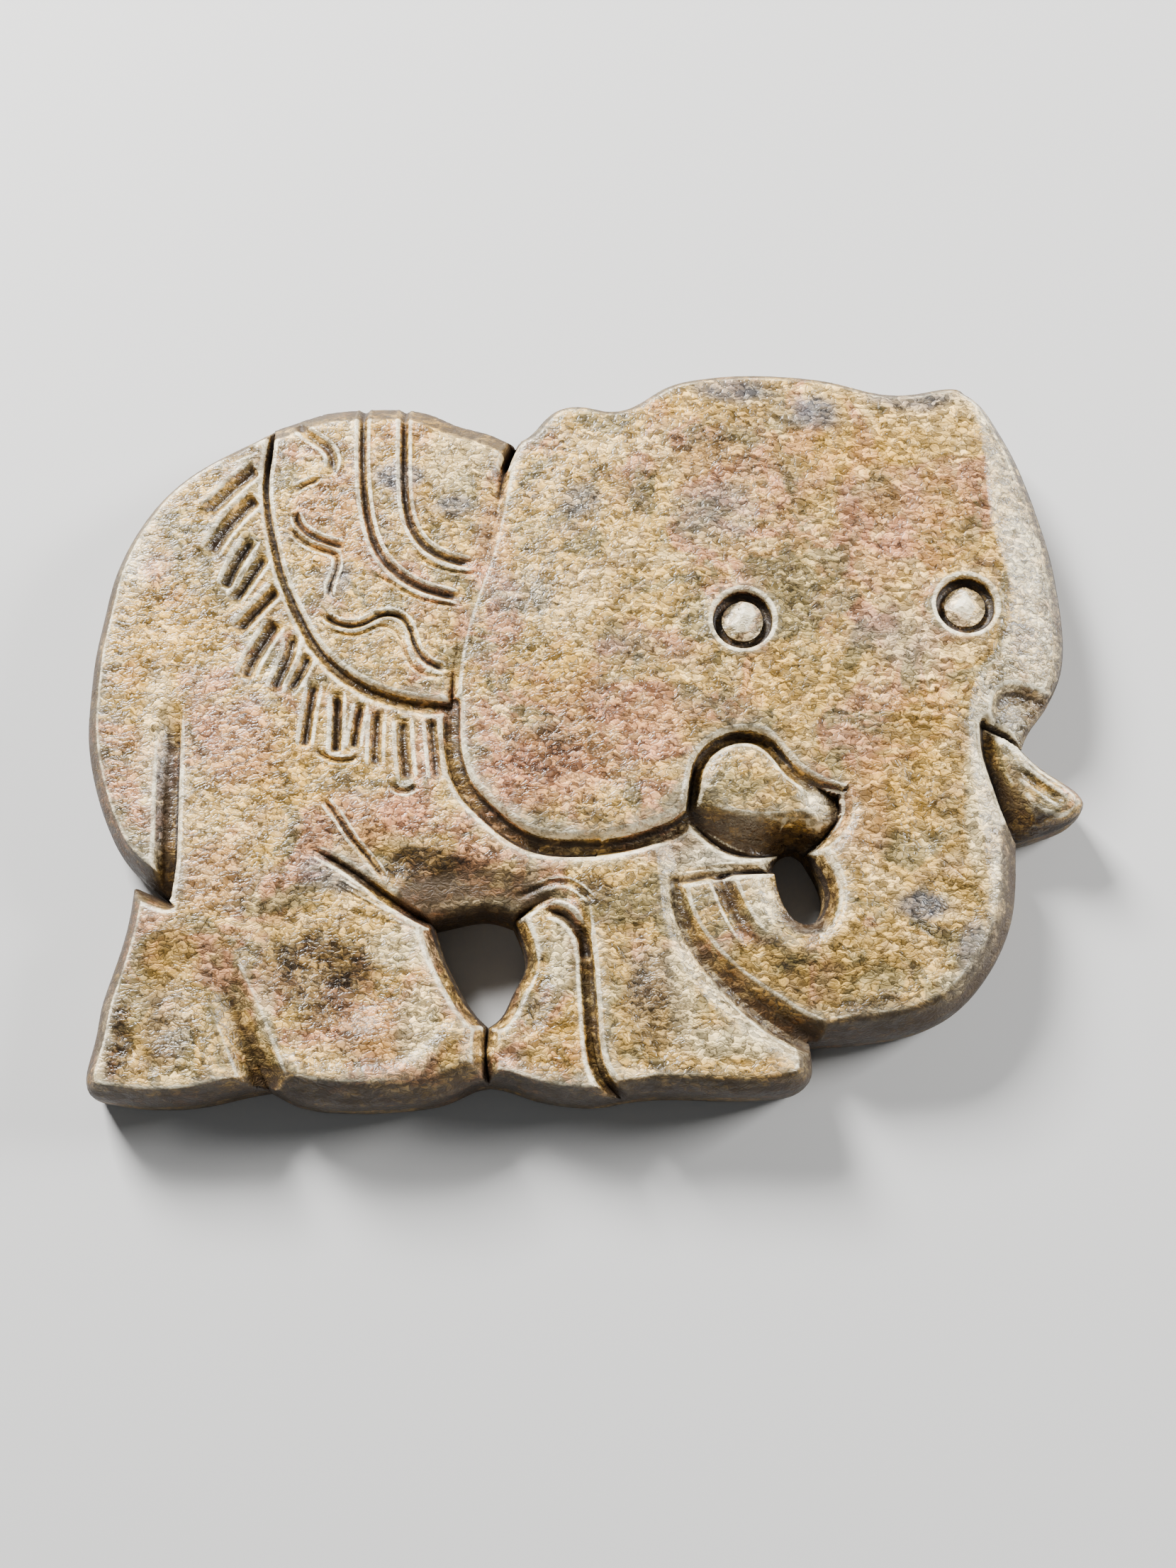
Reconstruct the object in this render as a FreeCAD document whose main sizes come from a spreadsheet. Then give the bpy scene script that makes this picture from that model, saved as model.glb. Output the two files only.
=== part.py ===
import FreeCAD, Part
import Sketcher
import os

# Elephant plaque carved from one flat pebble of hard stone. Millimetres. The plaque lies on its
# flat back with the carved face up: X runs from the rump to the tusk tip, Y from the feet to the
# crown, Z out of the carved face. The origin is under the middle of the plaque, on its back.
#
# The stone is one piece. Each carved element (head, trunk, leg, ...) is a solid of its own that
# meets its neighbours face to face along the carved line between them.

# ---- driving dimensions -------------------------------------------------------------------------

SIZES = {
    # finished height of each carved element above the flat back
    "body_top": 6.0,
    "saddle_top": 6.2,
    "head_top": 7.0,
    "trunk_top": 6.5,
    "near_tusk_top": 6.7,
    "far_tusk_top": 5.6,
    "near_fore_top": 6.1,
    "far_fore_top": 5.5,
    "near_hind_top": 6.1,
    "far_hind_top": 5.6,
    "tail_top": 5.8,
    # worked edges
    "rim_bevel": 0.8,
    "seam_bevel": 0.35,
    "thin_bevel": 0.25,
    # engraved lines
    "crease_width": 0.8,
    "line_width": 0.55,
    "line_depth": 0.45,
    "fringe_width": 0.55,
    "fringe_depth": 0.4,
    # drilled eyes: a ring left by a tubular drill round a standing core
    "eye_ring": 2.05,
    "eye_core": 1.38,
    "eye_depth": 0.95,
    "eye_core_height": 0.8,
    "eye_chip": 0.3,
}

# ---- carved lines -------------------------------------------------------------------------------
# Each line is a smooth curve through its points. Lines start and end where they meet others.

RIM_LINES = {
    "rump": [(-33.97, 2.2), (-33.75, 5.5), (-33.3, 8.2), (-32.9, 10.4), (-32.2, 12.6), (-31.2, 14.6),
             (-29.9, 16.5), (-28.2, 18.2), (-26.2, 19.6), (-24.0, 20.8), (-21.85, 22.0)],
    "saddle_top": [(-21.85, 22.0), (-20.0, 22.7), (-18.0, 23.3), (-15.5, 23.5), (-13.0, 23.5),
                   (-10.8, 23.1), (-8.8, 22.2), (-7.0, 21.7), (-4.9, 20.7)],
    "crown": [(-4.9, 20.7), (-4.0, 21.2), (-3.1, 22.2), (-2.1, 23.1), (-0.8, 23.45), (0.6, 23.3),
              (1.8, 23.05), (3.0, 23.25), (4.4, 24.05), (5.8, 24.9), (7.6, 25.4), (10.0, 25.7),
              (12.5, 25.75), (15.0, 25.6), (17.5, 25.2), (20.0, 24.5), (22.0, 24.25), (24.0, 24.5),
              (25.6, 24.75), (26.9, 24.6)],
    "cheek": [(26.9, 24.6), (28.0, 23.8), (29.0, 22.3), (30.0, 20.4), (31.0, 17.9), (31.8, 15.3),
              (32.5, 12.6), (32.95, 9.6), (33.15, 7.0), (33.05, 4.8), (32.5, 3.0), (31.5, 1.4),
              (30.5, 0.0), (30.0, -1.3)],
    "far_tusk_rim": [(30.0, -1.3), (30.9, -2.3), (32.0, -3.15), (33.1, -3.9), (33.8, -4.6), (34.0, -5.1),
                     (33.7, -5.8), (32.9, -6.45), (31.5, -7.0), (30.3, -7.4), (29.35, -7.6)],
    "trunk_rim": [(29.35, -7.6), (29.25, -9.0), (29.1, -11.0), (28.75, -13.0), (28.0, -15.1),
                  (26.9, -17.0), (25.4, -18.7), (23.6, -19.9), (21.5, -20.7), (19.0, -21.1),
                  (17.0, -21.3), (14.95, -21.4)],
    "near_forefoot": [(14.95, -21.4), (15.05, -22.6), (14.9, -23.8), (14.1, -24.5), (12.5, -24.85),
                      (9.5, -24.95), (6.5, -24.85), (4.2, -24.9), (2.5, -25.1)],
    "far_forefoot": [(2.5, -25.1), (1.2, -25.35), (-0.5, -25.35), (-2.2, -25.15), (-3.8, -24.75),
                     (-5.1, -24.3), (-6.3, -24.1)],
    "near_hindfoot": [(-6.3, -24.1), (-7.3, -24.3), (-8.7, -24.95), (-10.5, -25.45), (-13.0, -25.7),
                      (-16.0, -25.75), (-18.2, -25.55), (-19.8, -25.0), (-20.9, -24.4)],
    "far_hindfoot": [(-20.9, -24.4), (-22.6, -24.7), (-24.5, -25.15), (-27.0, -25.5), (-29.5, -25.45),
                     (-31.5, -25.2), (-32.6, -24.8), (-32.9, -24.0), (-32.75, -22.7), (-32.35, -21.0),
                     (-32.05, -19.0), (-31.6, -17.4), (-31.0, -15.4), (-30.5, -13.2), (-30.25, -10.95)],
    "hock_wedge": [(-30.25, -10.95), (-28.9, -11.5), (-27.7, -11.95)],
    "tail_rim": [(-27.7, -11.95), (-28.8, -11.05), (-29.9, -10.2), (-31.1, -9.0), (-32.1, -7.3),
                 (-33.0, -5.0), (-33.7, -2.4), (-34.0, 0.0), (-33.97, 2.2)],
    "leg_hole_top": [(-10.2, -13.45), (-8.5, -13.05), (-6.5, -12.8), (-4.8, -13.3)],
    "leg_hole_right": [(-4.8, -13.3), (-4.15, -14.8), (-3.95, -16.6), (-4.7, -18.1), (-5.6, -19.8),
                       (-6.4, -20.4)],
    "leg_hole_left": [(-6.4, -20.4), (-7.4, -19.4), (-8.6, -17.5), (-9.6, -15.4), (-10.2, -13.45)],
    "curl_hole_top": [(13.15, -8.55), (14.2, -8.05), (15.0, -8.55)],
    "curl_hole_side": [(13.15, -8.55), (12.75, -9.2), (12.7, -10.0)],
    "curl_hole_low": [(12.7, -10.0), (12.9, -11.3), (13.45, -12.7), (14.3, -13.5), (15.2, -13.55),
                      (16.0, -12.7), (16.25, -11.5), (15.9, -10.2), (15.0, -8.55)],
}

GROOVE_LINES = {
    "saddle_border": [(-21.85, 22.0), (-21.9, 20.0), (-22.1, 17.5), (-21.9, 15.2), (-21.4, 12.8),
                      (-20.7, 10.3), (-19.6, 7.8), (-18.1, 5.2), (-16.2, 3.4), (-13.8, 2.1),
                      (-11.3, 1.45), (-9.0, 1.3)],
    "ear_back": [(-4.9, 20.7), (-5.4, 19.3), (-5.8, 17.0), (-6.2, 14.5), (-6.9, 11.5), (-7.8, 8.8),
                 (-8.5, 6.2), (-8.9, 3.6), (-9.0, 1.3)],
    "ear_lobe": [(-9.0, 1.3), (-9.0, -0.8), (-8.7, -2.9), (-7.9, -4.7), (-6.5, -6.2), (-4.8, -7.6),
                 (-3.0, -8.4), (-1.0, -8.6), (0.9, -8.55)],
    "ear_front": [(0.9, -8.55), (3.0, -8.2), (5.0, -7.6), (6.3, -7.0), (7.0, -6.4)],
    "tusk_top": [(7.0, -6.4), (7.3, -4.8), (7.6, -3.1), (8.5, -1.8), (10.0, -1.05), (11.6, -1.1),
                 (12.8, -1.9), (13.9, -3.3), (15.3, -4.3), (17.1, -5.0)],
    "tusk_tip": [(17.1, -5.0), (17.2, -6.2), (16.6, -7.3), (15.0, -8.55)],
    "tusk_flank": [(7.0, -6.4), (8.2, -7.6), (9.6, -8.5), (11.2, -8.75), (13.15, -8.55)],
    "throat_edge": [(12.7, -10.0), (10.5, -10.1), (8.2, -10.4), (6.05, -10.9)],
    "trunk_inner": [(6.05, -10.9), (6.3, -12.6), (7.0, -14.4), (8.2, -16.2), (9.8, -17.9),
                    (11.8, -19.6), (13.3, -20.6), (14.95, -21.4)],
    "far_tusk_root": [(27.2, 0.1), (28.3, -0.3), (30.0, -1.3)],
    "far_tusk_groove": [(27.2, 0.1), (27.3, -2.0), (27.9, -4.0), (28.6, -6.0), (29.35, -7.6)],
    "foreleg_groove": [(-0.1, -12.3), (0.15, -14.5), (0.3, -17.0), (0.5, -20.0), (0.8, -22.6),
                       (1.5, -24.2), (2.5, -25.1)],
    "far_foreleg_top": [(-4.8, -13.3), (-3.4, -12.4), (-1.8, -12.0), (-0.1, -12.3)],
    "feet_gap": [(-6.4, -20.4), (-6.5, -22.3), (-6.3, -24.1)],
    "belly_groove": [(-19.0, -8.4), (-16.0, -9.8), (-13.0, -11.9), (-10.2, -13.45)],
    "hind_valley": [(-25.5, -14.5), (-24.2, -17.0), (-22.9, -19.6), (-21.8, -22.2), (-20.9, -24.4)],
    "tail_groove": [(-27.7, -11.95), (-27.45, -10.0), (-27.4, -6.0), (-27.45, -2.0), (-27.45, 2.0)],
}

# Places where one element runs into the next with no carved line between them.
BLEND_LINES = {
    "foreleg_root": [(0.9, -8.55), (0.7, -10.0), (0.4, -11.3), (-0.1, -12.3)],
    "trunk_root": [(17.1, -5.0), (19.0, -3.0), (22.0, -1.2), (24.8, -0.3), (27.2, 0.1)],
    "far_haunch": [(-27.7, -11.95), (-26.7, -13.2), (-25.5, -14.5)],
    "near_haunch": [(-25.5, -14.5), (-22.6, -10.4), (-19.0, -8.4)],
    "tail_root": [(-27.45, 2.0), (-30.5, 3.2), (-33.97, 2.2)],
}

# Rims that turn too tightly for the full bevel, and groove edges that are left sharp.
THIN_RIMS = ["far_tusk_rim", "far_hindfoot"]
SHARP_EDGES = [("body", "tail_groove"), ("body", "belly_groove"), ("head", "far_tusk_root"),
               ("far_tusk", "far_tusk_root")]

ELEMENTS = {
    "body": ("body_top", ["rump", "saddle_border", "ear_lobe", "foreleg_root", "far_foreleg_top",
                          "leg_hole_top", "belly_groove", "near_haunch", "far_haunch",
                          "tail_groove", "tail_root"]),
    "saddle_cloth": ("saddle_top", ["saddle_top", "ear_back", "saddle_border"]),
    "head": ("head_top", ["crown", "cheek", "far_tusk_root", "trunk_root", "tusk_top", "ear_front",
                          "ear_lobe", "ear_back"]),
    "trunk": ("trunk_top", ["trunk_root", "far_tusk_groove", "trunk_rim", "trunk_inner",
                            "throat_edge", "curl_hole_low", "tusk_tip"]),
    "near_tusk": ("near_tusk_top", ["tusk_top", "tusk_tip", "curl_hole_top", "tusk_flank"]),
    "far_tusk": ("far_tusk_top", ["far_tusk_root", "far_tusk_rim", "far_tusk_groove"]),
    "near_fore_leg": ("near_fore_top", ["foreleg_root", "ear_front", "tusk_flank", "curl_hole_side",
                                        "throat_edge", "trunk_inner", "near_forefoot",
                                        "foreleg_groove"]),
    "far_fore_leg": ("far_fore_top", ["far_foreleg_top", "foreleg_groove", "far_forefoot",
                                      "feet_gap", "leg_hole_right"]),
    "near_hind_leg": ("near_hind_top", ["belly_groove", "leg_hole_left", "feet_gap",
                                        "near_hindfoot", "hind_valley", "near_haunch"]),
    "far_hind_leg": ("far_hind_top", ["far_haunch", "hind_valley", "far_hindfoot", "hock_wedge"]),
    "tail": ("tail_top", ["tail_groove", "tail_root", "tail_rim"]),
}

# Lines engraved into the saddle cloth: its two curved straps, then the wavy band beside them.
SADDLE_LINES = [
    [(-15.5, 24.5), (-15.5, 20.0), (-15.3, 16.5), (-14.8, 13.8), (-13.9, 11.8), (-12.0, 9.9), (-8.6, 8.8)],
    [(-12.6, 24.5), (-12.6, 20.0), (-12.5, 16.0), (-11.9, 13.8), (-10.8, 12.4), (-9.2, 11.6), (-7.4, 11.1)],
    [(-20.1, 22.0), (-18.8, 20.6), (-17.9, 19.8), (-17.8, 18.2)],
    [(-18.3, 17.7), (-20.2, 16.7)],
    [(-20.1, 15.0), (-19.2, 13.6), (-17.6, 12.7), (-16.9, 12.2), (-17.0, 10.4), (-17.4, 8.8)],
    [(-17.7, 7.5), (-16.4, 6.9), (-15.0, 7.2), (-13.4, 7.6), (-12.1, 7.1), (-11.5, 5.3), (-10.6, 4.2),
     (-9.4, 3.6)],
]

# The ends of each short cut in the saddle cloth's fringe, which lies on the body below the border.
FRINGE_CUTS = [
    ((-22.9, 19.8), (-25.2, 18.7)), ((-22.9, 18.3), (-26.2, 15.1)), ((-22.9, 16.0), (-26.0, 12.0)),
    ((-23.0, 13.0), (-24.6, 9.6)), ((-22.1, 11.8), (-24.1, 8.6)), ((-21.3, 9.5), (-23.8, 6.4)),
    ((-21.1, 7.0), (-22.8, 3.2)), ((-20.0, 6.1), (-20.9, 2.0)), ((-18.8, 4.6), (-20.3, 2.0)),
    ((-18.5, 2.0), (-18.8, -1.7)), ((-16.7, 2.2), (-16.8, -2.0)), ((-15.3, 1.4), (-15.6, -1.6)),
    ((-14.0, 0.9), (-14.1, -3.0)), ((-12.2, 0.4), (-12.0, -3.9)), ((-10.2, 0.3), (-10.0, -3.8)),
]

# The crease on the belly above the hind leg, and the one inside the curl of the trunk.
BELLY_CREASE = [(-17.4, -5.4), (-16.2, -7.0), (-14.8, -8.9), (-13.3, -10.6)]
CURL_CREASE = [(9.3, -11.0), (10.0, -12.3), (10.9, -14.0), (12.3, -15.5), (14.6, -16.4)]

# Each eye's centre, and the direction in degrees that the chipped side of its core faces.
EYES = {"near_eye": ((10.8, 7.1), 200), "far_eye": ((26.05, 8.15), 20)}
CHIP_TILT = -20


# ---- helpers ------------------------------------------------------------------------------------

def add_sheet(doc):
    """Put every driving dimension in a named cell."""
    sheet = doc.addObject("Spreadsheet::Sheet", "Sizes")
    for row, (name, value) in enumerate(SIZES.items(), start=1):
        sheet.set(f"A{row}", name)
        sheet.set(f"B{row}", str(value))
        sheet.setAlias(f"B{row}", name)
    doc.recompute()
    return sheet


def smooth_curve(points):
    """One spline through the points of a carved line."""
    curve = Part.BSplineCurve()
    curve.interpolate([FreeCAD.Vector(x, y, 0) for x, y in points])
    return curve


def base_plane(body):
    """The body's own XY plane."""
    return next(plane for plane in body.Origin.OriginFeatures if plane.Role == "XY_Plane")


def add_sketch(body, name, height_cell=None):
    """An empty sketch on the body's XY plane, raised to a height held in a cell."""
    sketch = body.newObject("Sketcher::SketchObject", name)
    sketch.AttachmentSupport = [(base_plane(body), "")]
    sketch.MapMode = "FlatFace"
    if height_cell:
        sketch.setExpression("AttachmentOffset.Base.z", f"Sizes.{height_cell}")
    return sketch


def offset_line(points, distance):
    """The points of a line moved sideways by a distance."""
    curve = smooth_curve(points)
    moved = []
    for x, y in points:
        here = FreeCAD.Vector(x, y, 0)
        along = curve.tangent(curve.parameter(here))[0]
        moved.append((x - along.y * distance, y + along.x * distance))
    return moved


def add_ribbon(sketch, points, width):
    """A closed strip of even width that follows a line."""
    left = offset_line(points, width / 2)
    right = offset_line(points, -width / 2)
    for side in (left, right):
        sketch.addGeometry(smooth_curve(side), False)
    for index in (0, -1):
        end = Part.LineSegment(FreeCAD.Vector(*left[index], 0), FreeCAD.Vector(*right[index], 0))
        sketch.addGeometry(end, False)


def add_cut(body, sketch, name, depth_cell):
    """Cut a sketch down into the body and make sure that it removed something."""
    before = body.Tip.Shape.Volume
    cut = body.newObject("PartDesign::Pocket", name)
    cut.Profile = sketch
    cut.setExpression("Length", f"Sizes.{depth_cell}")
    body.Tip = cut
    body.Document.recompute()
    if not cut.Shape.Volume < before:
        raise SystemExit(f"{name} removes nothing")


def engrave(body, name, lines, width_cell, depth_cell, height_cell):
    """Engrave lines of one width and depth into an element's face."""
    sizes = body.Document.Sizes
    sketch = add_sketch(body, f"{name}_sketch", height_cell)
    for line in lines:
        add_ribbon(sketch, line, getattr(sizes, width_cell))
    add_cut(body, sketch, name, depth_cell)


def top_edges(shape, height, line_names, all_lines):
    """Names of the top edges that follow the given carved lines."""
    found = []
    for line_name in line_names:
        curve = smooth_curve(all_lines[line_name])
        middle = curve.value((curve.FirstParameter + curve.LastParameter) / 2)
        target = Part.Vertex(middle.x, middle.y, height)
        for number, edge in enumerate(shape.Edges, start=1):
            if edge.BoundBox.ZMin > height - 0.01 and edge.distToShape(target)[0] < 0.01:
                found.append(f"Edge{number}")
    return found


def add_bevel(body, name, height_cell, line_names, all_lines, size_cell):
    """Bevel the top edges along the given carved lines."""
    height = getattr(body.Document.Sizes, height_cell)
    base = body.Tip
    edges = top_edges(base.Shape, height, line_names, all_lines)
    if not edges:
        return
    bevel = body.newObject("PartDesign::Chamfer", name)
    bevel.Base = (base, edges)
    bevel.setExpression("Size", f"Sizes.{size_cell}")
    body.Tip = bevel
    body.Document.recompute()


def add_element(doc, name, height_cell, line_names, all_lines):
    """One carved element: its outline padded up to its height."""
    body = doc.addObject("PartDesign::Body", name)
    body.Label = name
    outline = add_sketch(body, f"{name}_outline")
    for line_name in line_names:
        outline.addGeometry(smooth_curve(all_lines[line_name]), False)
    pad = body.newObject("PartDesign::Pad", f"{name}_pad")
    pad.Profile = outline
    pad.setExpression("Length", f"Sizes.{height_cell}")
    body.Tip = pad
    doc.recompute()
    return body


def bevel_element(body, height_cell, line_names, all_lines):
    """Bevel an element's rim, then the edges along its carved grooves."""
    worked = [line for line in line_names if (body.Name, line) not in SHARP_EDGES]
    groups = {
        "rim_bevel": [line for line in worked if line in RIM_LINES and line not in THIN_RIMS],
        "thin_bevel": [line for line in worked if line in THIN_RIMS],
        "seam_bevel": [line for line in worked if line in GROOVE_LINES],
    }
    for size_cell, lines in groups.items():
        add_bevel(body, f"{body.Name}_{size_cell}", height_cell, lines, all_lines, size_cell)


def add_eye_sockets(head):
    """Sink the two drilled eye sockets into the head."""
    sketch = add_sketch(head, "eye_sockets_sketch", "head_top")
    up = FreeCAD.Vector(0, 0, 1)
    start_radius = head.Document.Sizes.eye_ring
    for (x, y), _ in EYES.values():
        circle = Part.Circle(FreeCAD.Vector(x, y, 0), up, start_radius)
        socket = sketch.addGeometry(circle, False)
        radius = sketch.addConstraint(Sketcher.Constraint("Radius", socket, start_radius))
        sketch.setExpression(f"Constraints[{radius}]", "Sizes.eye_ring")
    add_cut(head, sketch, "eye_sockets", "eye_depth")


def add_eye_core(doc, name, centre, turn):
    """The core left standing in a drilled eye, with one side of its top chipped away."""
    core = doc.addObject("Part::Cylinder", f"{name}_core")
    core.setExpression("Radius", "Sizes.eye_core")
    core.setExpression("Height", "Sizes.eye_core_height")
    chip = doc.addObject("Part::Box", f"{name}_chip")
    for side in ("Length", "Width", "Height"):
        chip.setExpression(side, "4 * Sizes.eye_core")  # reaches well past the core on every side
    chip.setExpression("Placement.Base.z", "Sizes.eye_core_height - Sizes.eye_chip")
    chip.Placement.Rotation = FreeCAD.Rotation(turn, CHIP_TILT, 0)
    eye = doc.addObject("Part::Cut", name)
    eye.Base = core
    eye.Tool = chip
    eye.Label = name
    eye.setExpression("Placement.Base.z", "Sizes.head_top - Sizes.eye_depth")
    eye.Placement.Base.x, eye.Placement.Base.y = centre
    doc.recompute()
    return eye


def check(doc, pieces):
    """Stop unless every object worked and every piece is one closed, valid solid."""
    for item in doc.Objects:
        if "Invalid" in item.State or "Error" in item.State:
            raise SystemExit(f"{item.Name} failed: {item.State}")
    for piece in pieces:
        shape = piece.Shape
        if shape.isNull() or not shape.isValid() or len(shape.Solids) != 1:
            raise SystemExit(f"{piece.Label} isn't one valid solid")
        print(f"{piece.Label}: {shape.Volume:.1f} mm3")


def build():
    doc = FreeCAD.newDocument("elephant_plaque")
    add_sheet(doc)
    all_lines = {**RIM_LINES, **GROOVE_LINES, **BLEND_LINES}

    bodies = {}
    for name, (height_cell, line_names) in ELEMENTS.items():
        bodies[name] = add_element(doc, name, height_cell, line_names, all_lines)
        bevel_element(bodies[name], height_cell, line_names, all_lines)

    engrave(bodies["saddle_cloth"], "saddle_lines", SADDLE_LINES, "line_width", "line_depth", "saddle_top")
    engrave(bodies["body"], "fringe", FRINGE_CUTS, "fringe_width", "fringe_depth", "body_top")
    engrave(bodies["body"], "belly_crease", [BELLY_CREASE], "line_width", "line_depth", "body_top")
    engrave(bodies["trunk"], "curl_crease", [CURL_CREASE], "crease_width", "line_depth", "trunk_top")
    add_eye_sockets(bodies["head"])

    pieces = list(bodies.values())
    for name, (centre, turn) in EYES.items():
        pieces.append(add_eye_core(doc, name, centre, turn))
    doc.recompute()
    check(doc, pieces)

    os.makedirs("parts", exist_ok=True)
    for piece in pieces:
        piece.Shape.exportStep(f"parts/{piece.Label}.step")
    box = Part.makeCompound([piece.Shape for piece in pieces]).BoundBox
    print(f"X {box.XMin:.2f} to {box.XMax:.2f}, Y {box.YMin:.2f} to {box.YMax:.2f}, height {box.ZMax:.2f}")


build()
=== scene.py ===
import math
from types import SimpleNamespace

import bpy
import numpy as np
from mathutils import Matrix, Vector
from mathutils.geometry import delaunay_2d_cdt


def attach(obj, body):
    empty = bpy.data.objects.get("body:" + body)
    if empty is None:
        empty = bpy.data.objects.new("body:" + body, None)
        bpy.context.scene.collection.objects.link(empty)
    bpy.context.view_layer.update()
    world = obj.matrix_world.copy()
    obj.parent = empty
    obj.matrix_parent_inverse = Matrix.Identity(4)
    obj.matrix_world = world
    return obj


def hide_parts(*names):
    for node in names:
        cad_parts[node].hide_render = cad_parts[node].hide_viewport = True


# A flat elephant plaque carved from one stone. Each carved element is one closed mesh that stands
# for the CAD node of the same name. Lengths are in millimetres up to the moment a mesh is made.

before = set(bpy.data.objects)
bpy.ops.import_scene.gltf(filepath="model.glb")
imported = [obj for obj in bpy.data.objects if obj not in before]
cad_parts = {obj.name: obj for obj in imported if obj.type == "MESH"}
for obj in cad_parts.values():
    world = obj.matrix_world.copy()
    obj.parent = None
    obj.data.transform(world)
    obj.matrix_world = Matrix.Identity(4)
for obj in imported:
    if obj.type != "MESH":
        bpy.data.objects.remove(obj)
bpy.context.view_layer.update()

MM = 0.001
GRID = 0.6            # spacing of the coarse triangles on a flat part of the face
LINE_STEP = 0.36      # spacing of points along carved lines before the triangles are halved twice
SEED = 11

# ---- carved lines: each is a smooth curve through its points ----

RIM_LINES = {
    "rump": [(-33.97, 2.2), (-33.75, 5.5), (-33.3, 8.2), (-32.9, 10.4), (-32.2, 12.6), (-31.2, 14.6),
        (-29.9, 16.5), (-28.2, 18.2), (-26.2, 19.6), (-24, 20.8), (-21.85, 22)],
    "saddle_top": [(-21.85, 22), (-20, 22.7), (-18, 23.3), (-15.5, 23.5), (-13, 23.5), (-10.8, 23.1),
        (-8.8, 22.2), (-7, 21.7), (-4.9, 20.7)],
    "crown": [(-4.9, 20.7), (-4, 21.2), (-3.1, 22.2), (-2.1, 23.1), (-0.8, 23.45), (0.6, 23.3),
        (1.8, 23.05), (3, 23.25), (4.4, 24.05), (5.8, 24.9), (7.6, 25.4), (10, 25.7), (12.5, 25.75),
        (15, 25.6), (17.5, 25.2), (20, 24.5), (22, 24.25), (24, 24.5), (25.6, 24.75), (26.9, 24.6)],
    "cheek": [(26.9, 24.6), (28, 23.8), (29, 22.3), (30, 20.4), (31, 17.9), (31.8, 15.3), (32.5, 12.6),
        (32.95, 9.6), (33.15, 7), (33.05, 4.8), (32.5, 3), (31.5, 1.4), (30.5, 0), (30, -1.3)],
    "far_tusk_rim": [(30, -1.3), (30.9, -2.3), (32, -3.15), (33.1, -3.9), (33.8, -4.6), (34, -5.1),
        (33.7, -5.8), (32.9, -6.45), (31.5, -7), (30.3, -7.4), (29.35, -7.6)],
    "trunk_rim": [(29.35, -7.6), (29.25, -9), (29.1, -11), (28.75, -13), (28, -15.1), (26.9, -17),
        (25.4, -18.7), (23.6, -19.9), (21.5, -20.7), (19, -21.1), (17, -21.3), (14.95, -21.4)],
    "near_forefoot": [(14.95, -21.4), (15.05, -22.6), (14.9, -23.8), (14.1, -24.5), (12.5, -24.85),
        (9.5, -24.95), (6.5, -24.85), (4.2, -24.9), (2.5, -25.1)],
    "far_forefoot": [(2.5, -25.1), (1.2, -25.35), (-0.5, -25.35), (-2.2, -25.15), (-3.8, -24.75),
        (-5.1, -24.3), (-6.3, -24.1)],
    "near_hindfoot": [(-6.3, -24.1), (-7.3, -24.3), (-8.7, -24.95), (-10.5, -25.45), (-13, -25.7),
        (-16, -25.75), (-18.2, -25.55), (-19.8, -25), (-20.9, -24.4)],
    "far_hindfoot": [(-20.9, -24.4), (-22.6, -24.7), (-24.5, -25.15), (-27, -25.5), (-29.5, -25.45),
        (-31.5, -25.2), (-32.6, -24.8), (-32.9, -24), (-32.75, -22.7), (-32.35, -21), (-32.05, -19),
        (-31.6, -17.4), (-31, -15.4), (-30.5, -13.2), (-30.25, -10.95)],
    "hock_wedge": [(-30.25, -10.95), (-28.9, -11.5), (-27.7, -11.95)],
    "tail_rim": [(-27.7, -11.95), (-28.8, -11.05), (-29.9, -10.2), (-31.1, -9), (-32.1, -7.3),
        (-33, -5), (-33.7, -2.4), (-34, 0), (-33.97, 2.2)],
    "leg_hole_top": [(-10.2, -13.45), (-8.5, -13.05), (-6.5, -12.8), (-4.8, -13.3)],
    "leg_hole_right": [(-4.8, -13.3), (-4.15, -14.8), (-3.95, -16.6), (-4.7, -18.1), (-5.6, -19.8),
        (-6.4, -20.4)],
    "leg_hole_left": [(-6.4, -20.4), (-7.4, -19.4), (-8.6, -17.5), (-9.6, -15.4), (-10.2, -13.45)],
    "curl_hole_top": [(13.15, -8.55), (14.2, -8.05), (15, -8.55)],
    "curl_hole_side": [(13.15, -8.55), (12.75, -9.2), (12.7, -10)],
    "curl_hole_low": [(12.7, -10), (12.9, -11.3), (13.45, -12.7), (14.3, -13.5), (15.2, -13.55),
        (16, -12.7), (16.25, -11.5), (15.9, -10.2), (15, -8.55)],
}

# The stretches of the rim whose bevel is darkened, partly by a dark skin and partly by painted shade.
DARK_RIMS = ["rump", "saddle_top", "crown", "trunk_rim", "near_forefoot", "far_forefoot",
    "near_hindfoot", "far_hindfoot", "tail_rim", "leg_hole_top", "hock_wedge"]

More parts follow.
